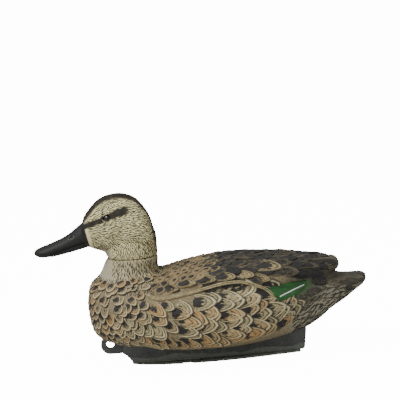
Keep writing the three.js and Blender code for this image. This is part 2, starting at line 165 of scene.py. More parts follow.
# ---- Body skin ----
# The hollow polyethylene moulding of hull, folded wings and neck collar. The feathers are laid on it, so it
# sits a feather's thickness inside the moulding's outline, and creases between its shapes are rounded off.
FEATHER_RISE = 2.0 * MM
BODY_VOXEL = 1.3 * MM
WING_GROOVE_DEPTH = 3.0 * MM
WING_GROOVE_WIDTH = 4.5
neck_x = frame["joints"][0]["pos_m"][0]
seam_z = frame["joints"][0]["pos_m"][2]


def mesh_object(name, mesh):
    made = bpy.data.objects.new(name, mesh)
    bpy.context.scene.collection.objects.link(made)
    return made


def evaluated(obj):
    """The object with its modifiers applied, as a new mesh."""
    graph = bpy.context.evaluated_depsgraph_get()
    return bpy.data.meshes.new_from_object(obj.evaluated_get(graph))


def blend_between(low, high, value):
    """0 at low, 1 at high, and smooth between them."""
    t = np.clip((value - low) / (high - low), 0, 1)
    return t * t * (3 - 2 * t)


def places(mesh):
    """Where a mesh's points are, one row for each."""
    found = np.empty(len(mesh.vertices) * 3, np.float32)
    mesh.vertices.foreach_get("co", found)
    return found.reshape(-1, 3).astype(float)


def outward(mesh):
    """Which way a mesh faces at its points, one row for each."""
    found = np.empty(len(mesh.vertices) * 3, np.float32)
    mesh.vertex_normals.foreach_get("vector", found)
    return found.reshape(-1, 3).astype(float)


def move_points(mesh, points):
    mesh.vertices.foreach_set("co", points.astype(np.float32).ravel())
    mesh.update()


def outer_skin(name, cad_node, voxel, plugs):
    """The outside of a hollow part as an even mesh. Each plug (x, y, radius, low, high) fills an opening."""
    mesh = frame["nodes"][cad_node].data.copy()
    mesh.materials.clear()
    build = bmesh.new()
    build.from_mesh(mesh)
    bmesh.ops.remove_doubles(build, verts=build.verts, dist=1e-6)
    for x, y, radius, low, high in plugs:
        where = Matrix.Translation((x, y, (low + high) / 2))
        bmesh.ops.create_cone(
            build, cap_ends=True, segments=48, radius1=radius, radius2=radius, depth=high - low, matrix=where
        )
    build.to_mesh(mesh)
    build.free()
    rough = mesh_object(name + "_rough", mesh)
    remesh = rough.modifiers.new("even", "REMESH")
    remesh.mode = "VOXEL"
    remesh.voxel_size = voxel
    even = evaluated(rough)
    bpy.data.objects.remove(rough)

    build = bmesh.new()
    build.from_mesh(even)
    build.verts.ensure_lookup_table()
    # The wall's inner face is left behind: only what hangs together with the outermost point is kept.
    start = max(build.verts, key=lambda v: abs(v.co.x) + v.co.z)
    outside = {start}
    edge = [start]
    while edge:
        vertex = edge.pop()
        for link in vertex.link_edges:
            other = link.other_vert(vertex)
            if other not in outside:
                outside.add(other)
                edge.append(other)
    bmesh.ops.delete(build, geom=[v for v in build.verts if v not in outside], context="VERTS")
    build.to_mesh(even)
    build.free()
    return mesh_object(name, even)


def soften(skin, weights, rounds):
    """Rounds off a skin's creases, by its weights from 0 to 1."""
    group = skin.vertex_groups.new(name="soften")
    levels = np.round(weights * 10).astype(int)
    for level in range(1, 11):
        group.add(np.nonzero(levels == level)[0].tolist(), level / 10, "REPLACE")
    smooth = skin.modifiers.new("soften", "SMOOTH")
    smooth.factor = 0.5
    smooth.iterations = rounds
    smooth.vertex_group = group.name
    softened = evaluated(skin)
    skin.modifiers.clear()
    skin.vertex_groups.clear()
    skin.data = softened


def store_outward(skin):
    """Keeps the skin's normals for the pieces that are laid on it."""
    kept = skin.data.attributes.new("outward", "FLOAT_VECTOR", "POINT")
    kept.data.foreach_set("vector", outward(skin.data).astype(np.float32).ravel())


socket_plug = (neck_x, 0, 19 * MM, seam_z - 14 * MM, seam_z - 0.4 * MM)
plug_low, plug_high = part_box("drain_plug")
drain_plug_x = (plug_low[0] + plug_high[0]) / 2
drain_plug_y = (plug_low[1] + plug_high[1]) / 2
drain_hole = (drain_plug_x, drain_plug_y, 6.5 * MM, plug_low[2] + 2.4 * MM, plug_high[2])
body_skin = outer_skin("body_skin", "body_shell", BODY_VOXEL, [socket_plug, drain_hole])

# The neck's foot and the wing's edge run out softly into the back and the flank.
points = places(body_skin.data)
x, y, z = points.T / MM
at_collar = blend_between(72, 84, z) * (1 - blend_between(-34, -24, x)) * (1 - blend_between(100, 106, z))
at_wing = blend_between(-60, -44, x) * blend_between(56, 66, z) * 0.5
at_seam = blend_between(103, 107, z) * (x < -40)
soften(body_skin, np.clip(at_collar + at_wing + 0.15, 0, 1) * (1 - at_seam), 60)

# Room for the feathers: none on the neck, less on the back, breast and top of the tail, more under the tail.
points = places(body_skin.data)
x, y, z = points.T / MM
inset = FEATHER_RISE * (1 - blend_between(94, 106, z) * (x < -38))
inset *= 1 - 0.3 * blend_between(80, 90, z) * (x > -30) - 0.3 * (1 - blend_between(-106, -96, x))
inset *= 1 - 0.8 * blend_between(126, 133, x) * blend_between(64, 72, z)
inset *= 1 + 0.6 * blend_between(116, 130, x) * (1 - blend_between(58, 66, z))
points -= outward(body_skin.data) * inset[:, None]
along_back = blend_between(-36, -8, x) * (1 - 0.4 * blend_between(60, 135, x)) * blend_between(82, 90, z)
points[:, 2] -= WING_GROOVE_DEPTH * along_back * np.exp(-((y / WING_GROOVE_WIDTH) ** 2))
move_points(body_skin.data, points)
soften(body_skin, np.full(len(points), 0.4), 4)
store_outward(body_skin)
body_tree = BVHTree.FromObject(body_skin, bpy.context.evaluated_depsgraph_get())

# ---- Feather laying ----
# Every feather is carved in relief: its root lies under the tips of the row before it, and its own tip stands
# proud of the skin. One blank per kind is set out in rows, turned with the flow and wrapped on the skin.
SUNK = -0.9 * MM
ROOT_LIFT = -0.6 * MM
HEART = 0.16
SHARP_EDGE = math.radians(45)
# Carved lines round a feather: how far out each is, and how many millimetres it is cut below the surface.
CARVED = (
    (1.0, 0.6),
    (0.92, 0.0),
    (0.86, 0.1),
    (0.82, 0.65),
    (0.76, 0.15),
    (0.68, 0.1),
    (0.64, 0.55),
    (0.58, 0.1),
    (0.3, 0.0),
)
CARVED_SMALL = ((1.0, 0.55), (0.89, 0.0), (0.8, 0.1), (0.74, 0.6), (0.66, 0.1), (0.35, 0.0))
blanks = []


def blank_of(name, outline, heart, length, width, rings, rise_of):
    """A closed scale inside an outline that runs anticlockwise.

    "ring" is 1 on its rim and 0 at its heart, "lift" is each point's height over the skin, and the "vane" map
    runs from root to tip and from side to side. Each ring (scale, sunk) is one carved line of the relief.
    """
    points = []
    ring_of = []
    lift = []
    for scale, sunk in ((1.0, None), *rings):
        for corner in outline:
            point = heart.lerp(corner, scale)
            points.append(point)
            ring_of.append(scale)
            lift.append(SUNK if sunk is None else rise_of(point) - sunk * MM)
    points.append(heart.copy())
    ring_of.append(0.0)
    lift.append(rise_of(heart))
    n = len(outline)
    faces = [tuple(reversed(range(n)))]
    for r in range(len(rings)):
        for i in range(n):
            j = (i + 1) % n
            faces.append((r * n + i, r * n + j, (r + 1) * n + j, (r + 1) * n + i))
    last = len(rings) * n
    faces += [(last + i, last + (i + 1) % n, last + n) for i in range(n)]
    mesh = bpy.data.meshes.new(name)
    mesh.from_pydata(points, [], faces)
    mesh.attributes.new("ring", "FLOAT", "POINT").data.foreach_set("value", ring_of)
    mesh.attributes.new("lift", "FLOAT", "POINT").data.foreach_set("value", lift)
    vane = mesh.uv_layers.new(name="vane")
    for loop in mesh.loops:
        point = points[loop.vertex_index]
        vane.data[loop.index].uv = (point.x / length, point.y / width + 0.5)
    blanks.append(mesh_object(name, mesh))
    return blanks[-1]


def feather_blank(name, length, width, points_round=20, rings=CARVED, point=1.3):
    """One feather with its root at the origin and its tip along +X. A point above 1 draws the tip out."""
    outline = []
    for i in range(points_round):
        share = 2 * (i + 0.5) / points_round - 1
        angle = math.pi * math.copysign(abs(share) ** 1.2, share)
        reach = 0.56 if math.cos(angle) > 0 else 0.44
        along = 0.44 + reach * math.cos(angle)
        spread = math.copysign(abs(math.sin(angle)) ** (point if math.cos(angle) > 0 else 0.9), angle)
        outline.append(Vector((length * along, width / 2 * spread, 0)))

    def rise_of(place):
        return ROOT_LIFT + (FEATHER_RISE - ROOT_LIFT) * max(place.x / length, 0) ** 1.2

    return blank_of(name, outline, Vector((length * HEART, 0, 0)), length, width, rings, rise_of)


def new_sockets(tree, sockets):
    """Named inputs and outputs of a node group, with the value that each input starts from."""
    for name, way, kind, value in sockets:
        made = tree.interface.new_socket(name=name, in_out=way, socket_type="NodeSocket" + kind)
        if value is not None:
            made.default_value = value


lay_on_skin = bpy.data.node_groups.new("lay_on_skin", "GeometryNodeTree")
new_sockets(
    lay_on_skin,
    [
        ("Roots", "INPUT", "Geometry", None),
        ("Blank", "INPUT", "Object", None),
        ("Skin", "INPUT", "Object", None),
        ("Rise", "INPUT", "Float", 1.0),
        ("Paint", "INPUT", "Material", None),
        ("Laid", "OUTPUT", "Geometry", None),
    ],
)
tree = lay_on_skin
given = node(tree, "NodeGroupInput").outputs
blank_shape = node(tree, "GeometryNodeObjectInfo", {"Object": given["Blank"]})
skin_shape = node(tree, "GeometryNodeObjectInfo", {"Object": given["Skin"]})


def kept_value(label, kind="FLOAT_VECTOR"):
    """A value that is stored on the points."""
    made = node(lay_on_skin, "GeometryNodeInputNamedAttribute", {"Name": label}, data_type=kind)
    return made.outputs["Attribute"]


here = node(tree, "GeometryNodeInputPosition").outputs["Position"]
normal_here = node(
    tree,
    "GeometryNodeSampleNearestSurface",
    {"Mesh": skin_shape.outputs["Geometry"], "Value": kept_value("outward"), "Sample Position": here},
    data_type="FLOAT_VECTOR",
).outputs["Value"]
turn = node(
    tree,
    "FunctionNodeAxesToRotation",
    {"Primary Axis": normal_here, "Secondary Axis": kept_value("flow")},
    primary_axis="Z",
    secondary_axis="X",
)
set_out = node(
    tree,
    "GeometryNodeInstanceOnPoints",
    {
        "Points": given["Roots"],
        "Instance": blank_shape.outputs["Geometry"],
        "Rotation": turn.outputs["Rotation"],
        "Scale": kept_value("size"),
    },
)
real = node(tree, "GeometryNodeRealizeInstances", {"Geometry": set_out.outputs["Instances"]})
nearest = node(
    tree,
    "GeometryNodeProximity",
    {"Geometry": skin_shape.outputs["Geometry"], "Source Position": here},
    target_element="FACES",
)
lift = kept_value("lift", "FLOAT")
height = node(tree, "ShaderNodeMath", {0: lift, 1: given["Rise"]}, operation="MULTIPLY")
above = node(tree, "ShaderNodeVectorMath", {0: normal_here, "Scale": height.outputs[0]}, operation="SCALE")
on_skin = nearest.outputs["Position"]
wrapped = node(tree, "ShaderNodeVectorMath", {0: on_skin, 1: above.outputs[0]}, operation="ADD")
placed = node(
    tree, "GeometryNodeSetPosition", {"Geometry": real.outputs["Geometry"], "Position": wrapped.outputs[0]}
)
painted = node(
    tree, "GeometryNodeSetMaterial", {"Geometry": placed.outputs["Geometry"], "Material": given["Paint"]}
)
node(tree, "NodeGroupOutput", {"Laid": painted.outputs["Geometry"]})


def lay(name, blank, roots, skin, body, paint, rise=1.0):
    """Lays a blank at each root (place, flow, length, width, tone, buff) on a skin, as one piece."""
    mesh = bpy.data.meshes.new(name)
    mesh.from_pydata([root[0] for root in roots], [], [])
    for label, kind, values in (
        ("flow", "FLOAT_VECTOR", [tuple(root[1]) for root in roots]),
        ("size", "FLOAT_VECTOR", [(root[2], root[3], 1) for root in roots]),
        ("tone", "FLOAT", [root[4] for root in roots]),
        ("buff", "FLOAT", [root[5] for root in roots]),
    ):
        kept = mesh.attributes.new(label, kind, "POINT")
        kept.data.foreach_set(
            "vector" if kind == "FLOAT_VECTOR" else "value", np.array(values, np.float32).ravel()
        )
    piece = mesh_object(name, mesh)
    laying = piece.modifiers.new("lay", "NODES")
    laying.node_group = lay_on_skin
    values = {"Blank": blank, "Skin": skin, "Rise": rise, "Paint": paint}
    for socket in lay_on_skin.interface.items_tree:
        if socket.name in values:
            laying[socket.identifier] = values[socket.name]
    laid = evaluated(piece)
    piece.modifiers.clear()
    piece.data = laid
    laid.shade_smooth()
    laid.set_sharp_from_angle(angle=SHARP_EDGE)
    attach(piece, body)
    return piece


def touch(tree, origin, aim):
    """Where a ray from inside a skin, in millimetres, meets it."""
    return tree.ray_cast(Vector(origin) * MM, Vector(aim).normalized())[0]


def seen_at(x, z, side):
    """The point on one side of the body that a viewer sees at x, z of its middle plane, or the next below."""
    sight = Vector((0, side * math.cos(ELEVATION), math.sin(ELEVATION)))
    place = None
    while place is None:
        place = body_tree.ray_cast(Vector((x, 0, z)) * MM + sight * 0.2, -sight)[0]
        z -= 1
    return place


# ---- Feather paint ----
# Flat acrylic, brushed on by hand: a pale rim, a thin dark line inside it, a web with barbs, and a dark mark
# that spreads from under the tip of the feather before. Some rows are tinted buff. The sunk outer edge is
# darkened with painted shade, for the shadow in the crevice round each feather.


def maths(tree, operation, a, b=0.0):
    return node(tree, "ShaderNodeMath", {0: a, 1: b}, operation=operation).outputs[0]


def plus(tree, a, b):
    return maths(tree, "ADD", a, b)


def minus(tree, a, b):
    return maths(tree, "SUBTRACT", a, b)


def times(tree, a, b):
    return maths(tree, "MULTIPLY", a, b)


def step_between(tree, value, low, high):
    """0 where value is at or past low, 1 at or past high, and smooth between."""
    made = node(
        tree,
        "ShaderNodeMapRange",
        {"Value": value, "From Min": low, "From Max": high},
        interpolation_type="SMOOTHSTEP",
    )
    return made.outputs["Result"]


def mix(tree, factor, a, b, blend_type="MIX"):
    """Colour a, turned to colour b by a factor from 0 to 1."""
    made = node(tree, "ShaderNodeMix", {0: factor, 6: a, 7: b}, data_type="RGBA", blend_type=blend_type)
    return made.outputs[2]


def object_place(tree):
    """Object coordinates, as the outputs X, Y and Z."""
    where = node(tree, "ShaderNodeTexCoord").outputs["Object"]
    return node(tree, "ShaderNodeSeparateXYZ", {0: where}).outputs


def noise(tree, scale, detail=2.0, stretch=None):
    """Noise over Object coordinates, with features about 1/scale metres across."""
    where = node(tree, "ShaderNodeTexCoord").outputs["Object"]
    if stretch:
        where = node(tree, "ShaderNodeMapping", {"Vector": where, "Scale": stretch}).outputs["Vector"]
    made = node(tree, "ShaderNodeTexNoise", {"Vector": where, "Scale": scale, "Detail": detail})
    return made.outputs["Fac"]


def about_zero(tree, value):
    """A value that runs from 0 to 1, moved to run about 0."""
    return minus(tree, value, 0.5)


def mottle_of(tree, scale, detail=3):
    """A mask of soft patches."""
    return step_between(tree, noise(tree, scale, detail), 0.3, 0.7)


def add_bump(tree, shader, height, strength=0.3, distance=0.0003):
    """A fine relief on a material, from a height that varies over it."""
    bump = node(tree, "ShaderNodeBump", {"Height": height, "Strength": strength, "Distance": distance})
    tree.links.new(bump.outputs["Normal"], shader.inputs["Normal"])


RICHER = 1.2
DEEPER = 0.82
FEATHER_ROUGHNESS = 0.72
TURN = 6.28


def colour(r, g, b):
    """A paint for a colour given as it looks, in 8-bit sRGB. The paint is a little richer and deeper."""
    linear = [((v / 255 + 0.055) / 1.055) ** 2.4 if v > 10 else v / 255 / 12.92 for v in (r, g, b)]
    grey = 0.21 * linear[0] + 0.72 * linear[1] + 0.07 * linear[2]
    return tuple(max(0.0, (grey + (v - grey) * RICHER) * DEEPER) for v in linear) + (1.0,)


feather_paint = bpy.data.node_groups.new("feather_paint", "ShaderNodeTree")
new_sockets(
    feather_paint,
    [
        ("Rim", "INPUT", "Color", colour(200, 190, 154)),
        ("Line", "INPUT", "Color", colour(46, 41, 31)),
        ("Web", "INPUT", "Color", colour(150, 139, 108)),
        ("Mark", "INPUT", "Color", colour(28, 26, 21)),
        ("Buff", "INPUT", "Color", colour(176, 138, 92)),
        ("Rim start", "INPUT", "Float", 0.84),
        ("Mark place", "INPUT", "Float", 0.42),
        ("Mark length", "INPUT", "Float", 0.18),
        ("Mark width", "INPUT", "Float", 0.29),
        ("Mark break", "INPUT", "Float", 1.6),
        ("Lines", "INPUT", "Float", 0.9),
        ("Edge", "INPUT", "Float", 0.9),
        ("Barbs", "INPUT", "Float", 10.0),
        ("Color", "OUTPUT", "Color", None),
        ("Height", "OUTPUT", "Float", None),
    ],
)
tree = feather_paint
given = node(tree, "NodeGroupInput").outputs
ring = node(tree, "ShaderNodeAttribute", attribute_name="ring").outputs["Fac"]
tone = node(tree, "ShaderNodeAttribute", attribute_name="tone").outputs["Fac"]
buff = node(tree, "ShaderNodeAttribute", attribute_name="buff").outputs["Fac"]
vane_map = node(tree, "ShaderNodeUVMap", uv_map="vane").outputs["UV"]
vane = node(tree, "ShaderNodeSeparateXYZ", {0: vane_map})
from_shaft = maths(tree, "ABSOLUTE", minus(tree, vane.outputs["Y"], 0.5))
blotches = noise(tree, 240, 3)
stipple = noise(tree, 1100, 2)
along_vane = node(
    tree,
    "ShaderNodeCombineXYZ",
    {
        0: times(tree, vane.outputs["X"], 2.5),
        1: times(tree, vane.outputs["Y"], 22.0),
        2: times(tree, tone, 37.0),
    },
)
brush = node(tree, "ShaderNodeTexNoise", {"Vector": along_vane.outputs[0], "Scale": 1.0, "Detail": 2.0})
brush_streak = about_zero(tree, brush.outputs["Fac"])
uneven = about_zero(tree, blotches)
brushed = plus(tree, ring, times(tree, uneven, 0.1))
barb_phase = plus(tree, vane.outputs["X"], times(tree, from_shaft, -0.9))
barb_wave = maths(tree, "SINE", times(tree, barb_phase, times(tree, given["Barbs"], TURN)))
mark_along = minus(tree, vane.outputs["X"], given["Mark place"])
mark_along = maths(tree, "DIVIDE", mark_along, given["Mark length"])
mark_across = maths(tree, "DIVIDE", from_shaft, given["Mark width"])
mark_reach = maths(tree, "POWER", maths(tree, "ABSOLUTE", mark_along), 2.0)
mark_reach = plus(tree, mark_reach, maths(tree, "POWER", mark_across, 2.0))
ragged = times(tree, plus(tree, uneven, brush_streak), given["Mark break"])
mark_reach = plus(tree, mark_reach, times(tree, ragged, 2.0))
mark_reach = plus(tree, mark_reach, times(tree, about_zero(tree, tone), 1.5))
mark_here = step_between(tree, mark_reach, 1.15, 0.85)
rim_here = step_between(tree, brushed, given["Rim start"], plus(tree, given["Rim start"], 0.03))
line_place = minus(tree, given["Rim start"], 0.02)
from_line = maths(tree, "ABSOLUTE", minus(tree, brushed, line_place))
line_here = step_between(tree, from_line, 0.04, 0.012)
inner_place = minus(tree, given["Rim start"], 0.2)
from_inner = maths(tree, "ABSOLUTE", minus(tree, brushed, inner_place))
inner_here = times(tree, step_between(tree, from_inner, 0.05, 0.015), 0.8)
line_here = times(tree, maths(tree, "MAXIMUM", line_here, inner_here), given["Lines"])
line_here = times(tree, line_here, step_between(tree, blotches, 0.3, 0.48))
# Painted shade: the sunk outer edge of each feather is darkened, for the shadow in the crevice round it.
edge_shadow = step_between(tree, brushed, 0.91, 0.95)
web_tint = mix(tree, step_between(tree, brush.outputs["Fac"], 0.35, 0.65), given["Web"], given["Rim"])
web_tint = mix(tree, 0.4, given["Web"], web_tint)
base = mix(tree, times(tree, buff, 0.9), web_tint, given["Buff"])
rim_tint = mix(tree, times(tree, buff, 0.6), given["Rim"], given["Buff"])
base = mix(tree, line_here, base, given["Line"])
base = mix(tree, rim_here, base, rim_tint)
base = mix(tree, mark_here, base, given["Mark"])
base = mix(tree, times(tree, edge_shadow, given["Edge"]), base, given["Mark"])
shade = plus(tree, times(tree, tone, 0.3), 0.8)
shade = plus(tree, shade, times(tree, about_zero(tree, stipple), 0.7))
shade = plus(tree, shade, times(tree, brush_streak, 0.35))
grey = node(tree, "ShaderNodeCombineColor", {0: shade, 1: shade, 2: shade}).outputs[0]
final = mix(tree, 1.0, base, grey, "MULTIPLY")
relief = plus(tree, times(tree, barb_wave, 0.5), times(tree, stipple, 0.8))
node(tree, "NodeGroupOutput", {"Color": final, "Height": relief})


def paint_feathers(name, **values):
    """A feather material: the painted group with its own colours, over a matt shader."""
    material, shader = new_material(name, FEATHER_ROUGHNESS)
    tree = material.node_tree
    group = node(tree, "ShaderNodeGroup", node_tree=feather_paint)
    for key, value in values.items():
        group.inputs[key.replace("_", " ")].default_value = value
    tree.links.new(group.outputs["Color"], shader.inputs["Base Color"])
    add_bump(tree, shader, group.outputs["Height"], 0.35, 0.0004)
    return material


# ---- Flank and breast feathers ----
# Pointed scallops in rows along each side, pale-rimmed with black-brown marks, two bands of them washed with
# buff. They are smaller and darker on the breast, where they run down from the neck.
flank_paint = paint_feathers("flank_paint")
breast_paint = paint_feathers(
    "breast_paint",
    Rim=colour(190, 175, 140),
    Web=colour(128, 116, 90),
    Mark_place=0.44,
    Mark_length=0.2,
    Mark_width=0.3,
    Mark_break=1.9,
    Rim_start=0.8,
    Barbs=6.0,
)
# Lines in the side view: (x, height), and for the flow (x, degrees above level).
FLANK_TOP = (
    (-88, 62),
    (-60, 66),
    (-40, 61),
    (-12, 64),
    (3, 68),
    (23, 70),
    (40, 69),
    (57, 62),
    (66, 55),
    (80, 47),
)
FLANK_LOW = ((-88, 36), (-60, 21), (-26, 16), (36, 17), (66, 22), (100, 30))
BUFF_UPPER = ((-95, 62), (-54, 50), (-27, 42), (21, 42), (42, 50), (62, 54))
BUFF_LOWER = ((-86, 30), (-59, 21), (-26, 17), (36, 19), (66, 24))
FLANK_FLOW = ((-95, -78), (-70, -55), (-40, -24), (0, -7), (35, 6), (62, 24), (95, 36))
FLANK_SIZE = ((-88, 0.72), (-50, 0.92), (20, 1.1), (60, 1.05), (90, 0.7))
FLANK_ROWS = 6
FLANK_COLUMNS = 17
FLANK_START = -88
FLANK_STOP = 75
FLANK_STEP = 12
NARROWEST = 10
BUFF_SPREAD = 5.5
BREAST_ROWS = 11
BREAST_COLUMNS = 15
BREAST_TOP = 93
BREAST_AXIS = -66
BREAST_DIP = ((0, 88), (80, 55), (130, 40))
chance = random.Random(7)


def along(line, x):
    """The value at x of a line of (x, value) points."""
    return float(np.interp(x, [p[0] for p in line], [p[1] for p in line]))


def buff_at(x, z):
    """How much buff a feather takes: most in the two bands, little between them."""
    off_band = min(abs(z - along(band, x)) for band in (BUFF_UPPER, BUFF_LOWER))
    return math.exp(-((off_band / BUFF_SPREAD) ** 2))


flank_roots = []
breast_roots = []
for side in (-1, 1):
    for row in range(FLANK_ROWS):
        up = (row + 0.25) / (FLANK_ROWS - 0.2)
        for column in range(FLANK_COLUMNS):
            x = FLANK_START + FLANK_STEP * (column + 0.5 * (row % 2)) + chance.uniform(-2, 2)
            low, top = along(FLANK_LOW, x), along(FLANK_TOP, x)
            z = low + (top - low) * up + chance.uniform(-1.4, 1.4)
            if x > FLANK_STOP or top - low < NARROWEST:
                continue
            place = seen_at(x, z, side)
            slope = math.radians(along(FLANK_FLOW, x) + chance.uniform(-13, 13))
            grown = along(FLANK_SIZE, x)
            long = grown * chance.uniform(0.85, 1.45)
            wide = grown * chance.uniform(0.85, 1.2)
            tip_x = x + 18 * math.cos(slope)
            tip_z = z + 14 * math.sin(slope)
            buff_here = min(1, buff_at(tip_x, tip_z) * chance.uniform(0.7, 1.1))
            flow_here = (math.cos(slope), 0, math.sin(slope))
            # The tone is random, and lowered towards the rear: partly the feathers' own darker paint, partly
            # painted shade where the flank turns away from the key lamp.
            tone_with_rear_shade = chance.random() - 0.9 * float(blend_between(12, 62, x))
            flank_roots.append((place, flow_here, long, wide, tone_with_rear_shade, buff_here))
    for row in range(BREAST_ROWS):
        height = BREAST_TOP - 6.6 * row
        for column in range(BREAST_COLUMNS):
            turn_out = math.radians(4 + 9.5 * (column + 0.5 * (row % 2)) + chance.uniform(-3, 3))
            aim = (-math.cos(turn_out), side * math.sin(turn_out), 0)
            place = touch(body_tree, (BREAST_AXIS, 0, height + chance.uniform(-1, 1)), aim)
            below_wing = height < 58
            if place.x > (-82 if below_wing else -60) * MM or below_wing and turn_out > 1.6:
                continue
            dip = math.radians(along(BREAST_DIP, math.degrees(turn_out)) + chance.uniform(-14, 14))
            flow_here = (math.cos(dip) * math.sin(turn_out), 0, -math.sin(dip))
            buff_here = chance.uniform(0.3, 0.9) if chance.random() < 0.3 else 0.0
            long = chance.uniform(0.8, 1.3)
            wide = chance.uniform(0.8, 1.1)
            breast_roots.append((place, flow_here, long, wide, chance.random(), buff_here))

flank_blank = feather_blank("flank_blank", 27 * MM, 16 * MM)
breast_blank = feather_blank("breast_blank", 14 * MM, 11.5 * MM, 14, CARVED_SMALL, point=1.1)
lay("breast_feathers", breast_blank, breast_roots, body_skin, "body", breast_paint)
lay("flank_feathers", flank_blank, flank_roots, body_skin, "body", flank_paint)

# ---- Back feathers ----
# Small spotted coverts on the shoulder, a bed of taupe feathers over the folded wings, and on it the big
# scapulars and tertials, almost filled by a black-brown blotch with brushed ends.
shoulder_paint = paint_feathers(
    "shoulder_paint",
    Rim=colour(134, 120, 92),
    Line=colour(100, 88, 64),
    Web=colour(126, 113, 86),
    Mark=colour(32, 30, 25),
    Mark_place=0.68,
    Mark_length=0.17,
    Mark_width=0.21,
    Mark_break=1.3,
    Lines=0.3,
    Edge=0.3,
)
bed_paint = paint_feathers(
    "bed_paint",
    Rim=colour(88, 80, 62),
    Line=colour(50, 45, 36),
    Web=colour(64, 59, 46),
    Mark=colour(25, 24, 20),
    Mark_place=0.56,
    Mark_length=0.44,
    Mark_width=0.4,
    Mark_break=1.9,
    Lines=0.4,
    Edge=0.45,
    Barbs=16.0,
)
blotch_paint = paint_feathers(
    "blotch_paint",
    Rim=colour(90, 82, 63),
    Line=colour(48, 44, 35),
    Web=colour(60, 55, 43),
    Mark=colour(20, 19, 16),
    Rim_start=0.9,
    Mark_place=0.5,
    Mark_length=0.5,
    Mark_width=0.5,
    Mark_break=0.7,
    Lines=0.3,
    Edge=0.4,
    Barbs=22.0,
)
rimmed_paint = paint_feathers(
    "rimmed_paint",
    Rim=colour(176, 160, 120),
    Line=colour(58, 50, 37),
    Web=colour(154, 140, 108),
    Mark=colour(34, 32, 27),
    Rim_start=0.88,
    Mark_place=0.36,
    Mark_length=0.36,
    Mark_width=0.32,
    Mark_break=0.6,
    Barbs=22.0,
)
BACK_AXIS = 55
SHOULDER_ANGLES = (20, 29, 38, 47, 56, 65, 74, 84)
BED_ANGLES = (30, 41, 52, 63, 74, 84)
BED_SLOPES = (-14, -12, -9, -6, -4, -2)
BIG_LENGTH = 50
BIG_WIDTH = 16
# Each big feather's root and tip in the side view, its width, and whether it has the pale double rim.
BIG_FEATHERS = (
    (-4, 92, 40, 77.5, 17, False),
    (0, 103, 50, 95, 15, False),
    (28, 95, 80, 79, 27, True),
    (-46, 75, -22, 70, 12, True),
    (-31, 78, -4, 72, 13, True),
    (-14, 80, 15, 74.5, 13, True),
    (4, 82, 34, 77, 13, True),
    (22, 83, 52, 77, 13, True),
    (40, 80, 66, 70, 12, True),
    (40, 99.5, 86, 91, 14, False),
    (72, 81, 108, 72, 12, False),
    (78, 90.5, 115, 81, 13, False),
    (70, 99, 121, 89, 14, False),
)
shoulder_roots = []
bed_roots = []
blotch_roots = []
rimmed_roots = []
for side in (-1, 1):
    for row, angle in enumerate(SHOULDER_ANGLES):
        for column in range(8):
            x = -56 + 9 * (column + 0.5 * (row % 2)) + chance.uniform(-1.5, 1.5)
            aim = math.radians(angle + chance.uniform(-1.5, 1.5))
            place = touch(body_tree, (x, 0, BACK_AXIS), (0, side * math.cos(aim), math.sin(aim)))
            if place.z > 99 * MM and x < -30 or x > 4 or angle < 26 + (x + 50) * 0.3:
                continue
            flow_here = (0.95, 0, -0.32 + chance.uniform(-0.15, 0.15))
            shrink = chance.uniform(0.88, 1.12)
            shoulder_roots.append((place, flow_here, shrink, shrink, chance.random(), 0.1))
    for row, angle in enumerate(BED_ANGLES):
        for column in range(10):
            x = -8 + 14 * (column + 0.5 * (row % 2)) + chance.uniform(-1.5, 1.5)
            aim = math.radians(angle + chance.uniform(-1, 1))
            place = touch(body_tree, (x, 0, BACK_AXIS), (0, side * math.cos(aim), math.sin(aim)))
            wing_edge = 84 + max(0, x - 85) * 0.12
            if x > (112 if angle < 70 else 102) or place.z < wing_edge * MM:
                continue
            slope = math.radians(BED_SLOPES[row] + chance.uniform(-4, 4))
            flow_here = (math.cos(slope), -side * 0.1, math.sin(slope))
            shrink = chance.uniform(0.9, 1.1)
            bed_roots.append((place, flow_here, shrink, shrink, chance.random(), 0.0))
    for x0, z0, x1, z1, wide, has_rim in BIG_FEATHERS:
        root = seen_at(x0, z0, side)
        tip = seen_at(x1, z1, side)
        long = (tip - root).length / (BIG_LENGTH * MM)
        big = (root, tuple(tip - root), long, wide / BIG_WIDTH, chance.random(), 0.0)
        (rimmed_roots if has_rim else blotch_roots).append(big)
    for column in range(4):
        root = touch(body_tree, (26 * column, 0, BACK_AXIS), (0, side * 0.14, 1))
        blotch_roots.append((root, (1, side * 0.02, -0.03), 0.75, 0.62, chance.random(), 0.0))

shoulder_blank = feather_blank("shoulder_blank", 16 * MM, 12 * MM, 14, CARVED_SMALL, point=1.1)
bed_blank = feather_blank("bed_blank", 27 * MM, 15 * MM, 16, CARVED_SMALL)
big_blank = feather_blank("big_blank", BIG_LENGTH * MM, BIG_WIDTH * MM, 28, CARVED, point=1.15)
for name, blank, roots, paint, rise in (
    ("shoulder_coverts", shoulder_blank, shoulder_roots, shoulder_paint, 0.75),
    ("wing_bed", bed_blank, bed_roots, bed_paint, 1.0),
    ("blotched_scapulars", big_blank, blotch_roots, blotch_paint, 1.12),
    ("rimmed_scapulars", big_blank, rimmed_roots, rimmed_paint, 1.3),
):
    lay(name, blank, roots, body_skin, "body", paint, rise)

# ---- Flank ribbon ----
# The carved double line that divides the wing from the flank: a pale stripe under the scapulars, which arches
# over the top of the flank feathers and runs down behind them.
RIBBON = (
    (-56, 69),
    (-50, 65),
    (-40, 62),
    (-15, 65.5),
    (3, 70),
    (22, 73.5),
    (40, 73),
    (57, 67),
    (66, 59.5),
    (73, 52),
)
RIBBON_WIDTH = 3.6 * MM
RIBBON_STEPS = 7
# Across the ribbon, as a share of its width, and above the skin, in millimetres.
RIBBON_PROFILE = ((-0.5, -0.9), (-0.42, 1.7), (-0.24, 2.2), (0, 1.5), (0.24, 2.2), (0.42, 1.7), (0.5, -0.9))


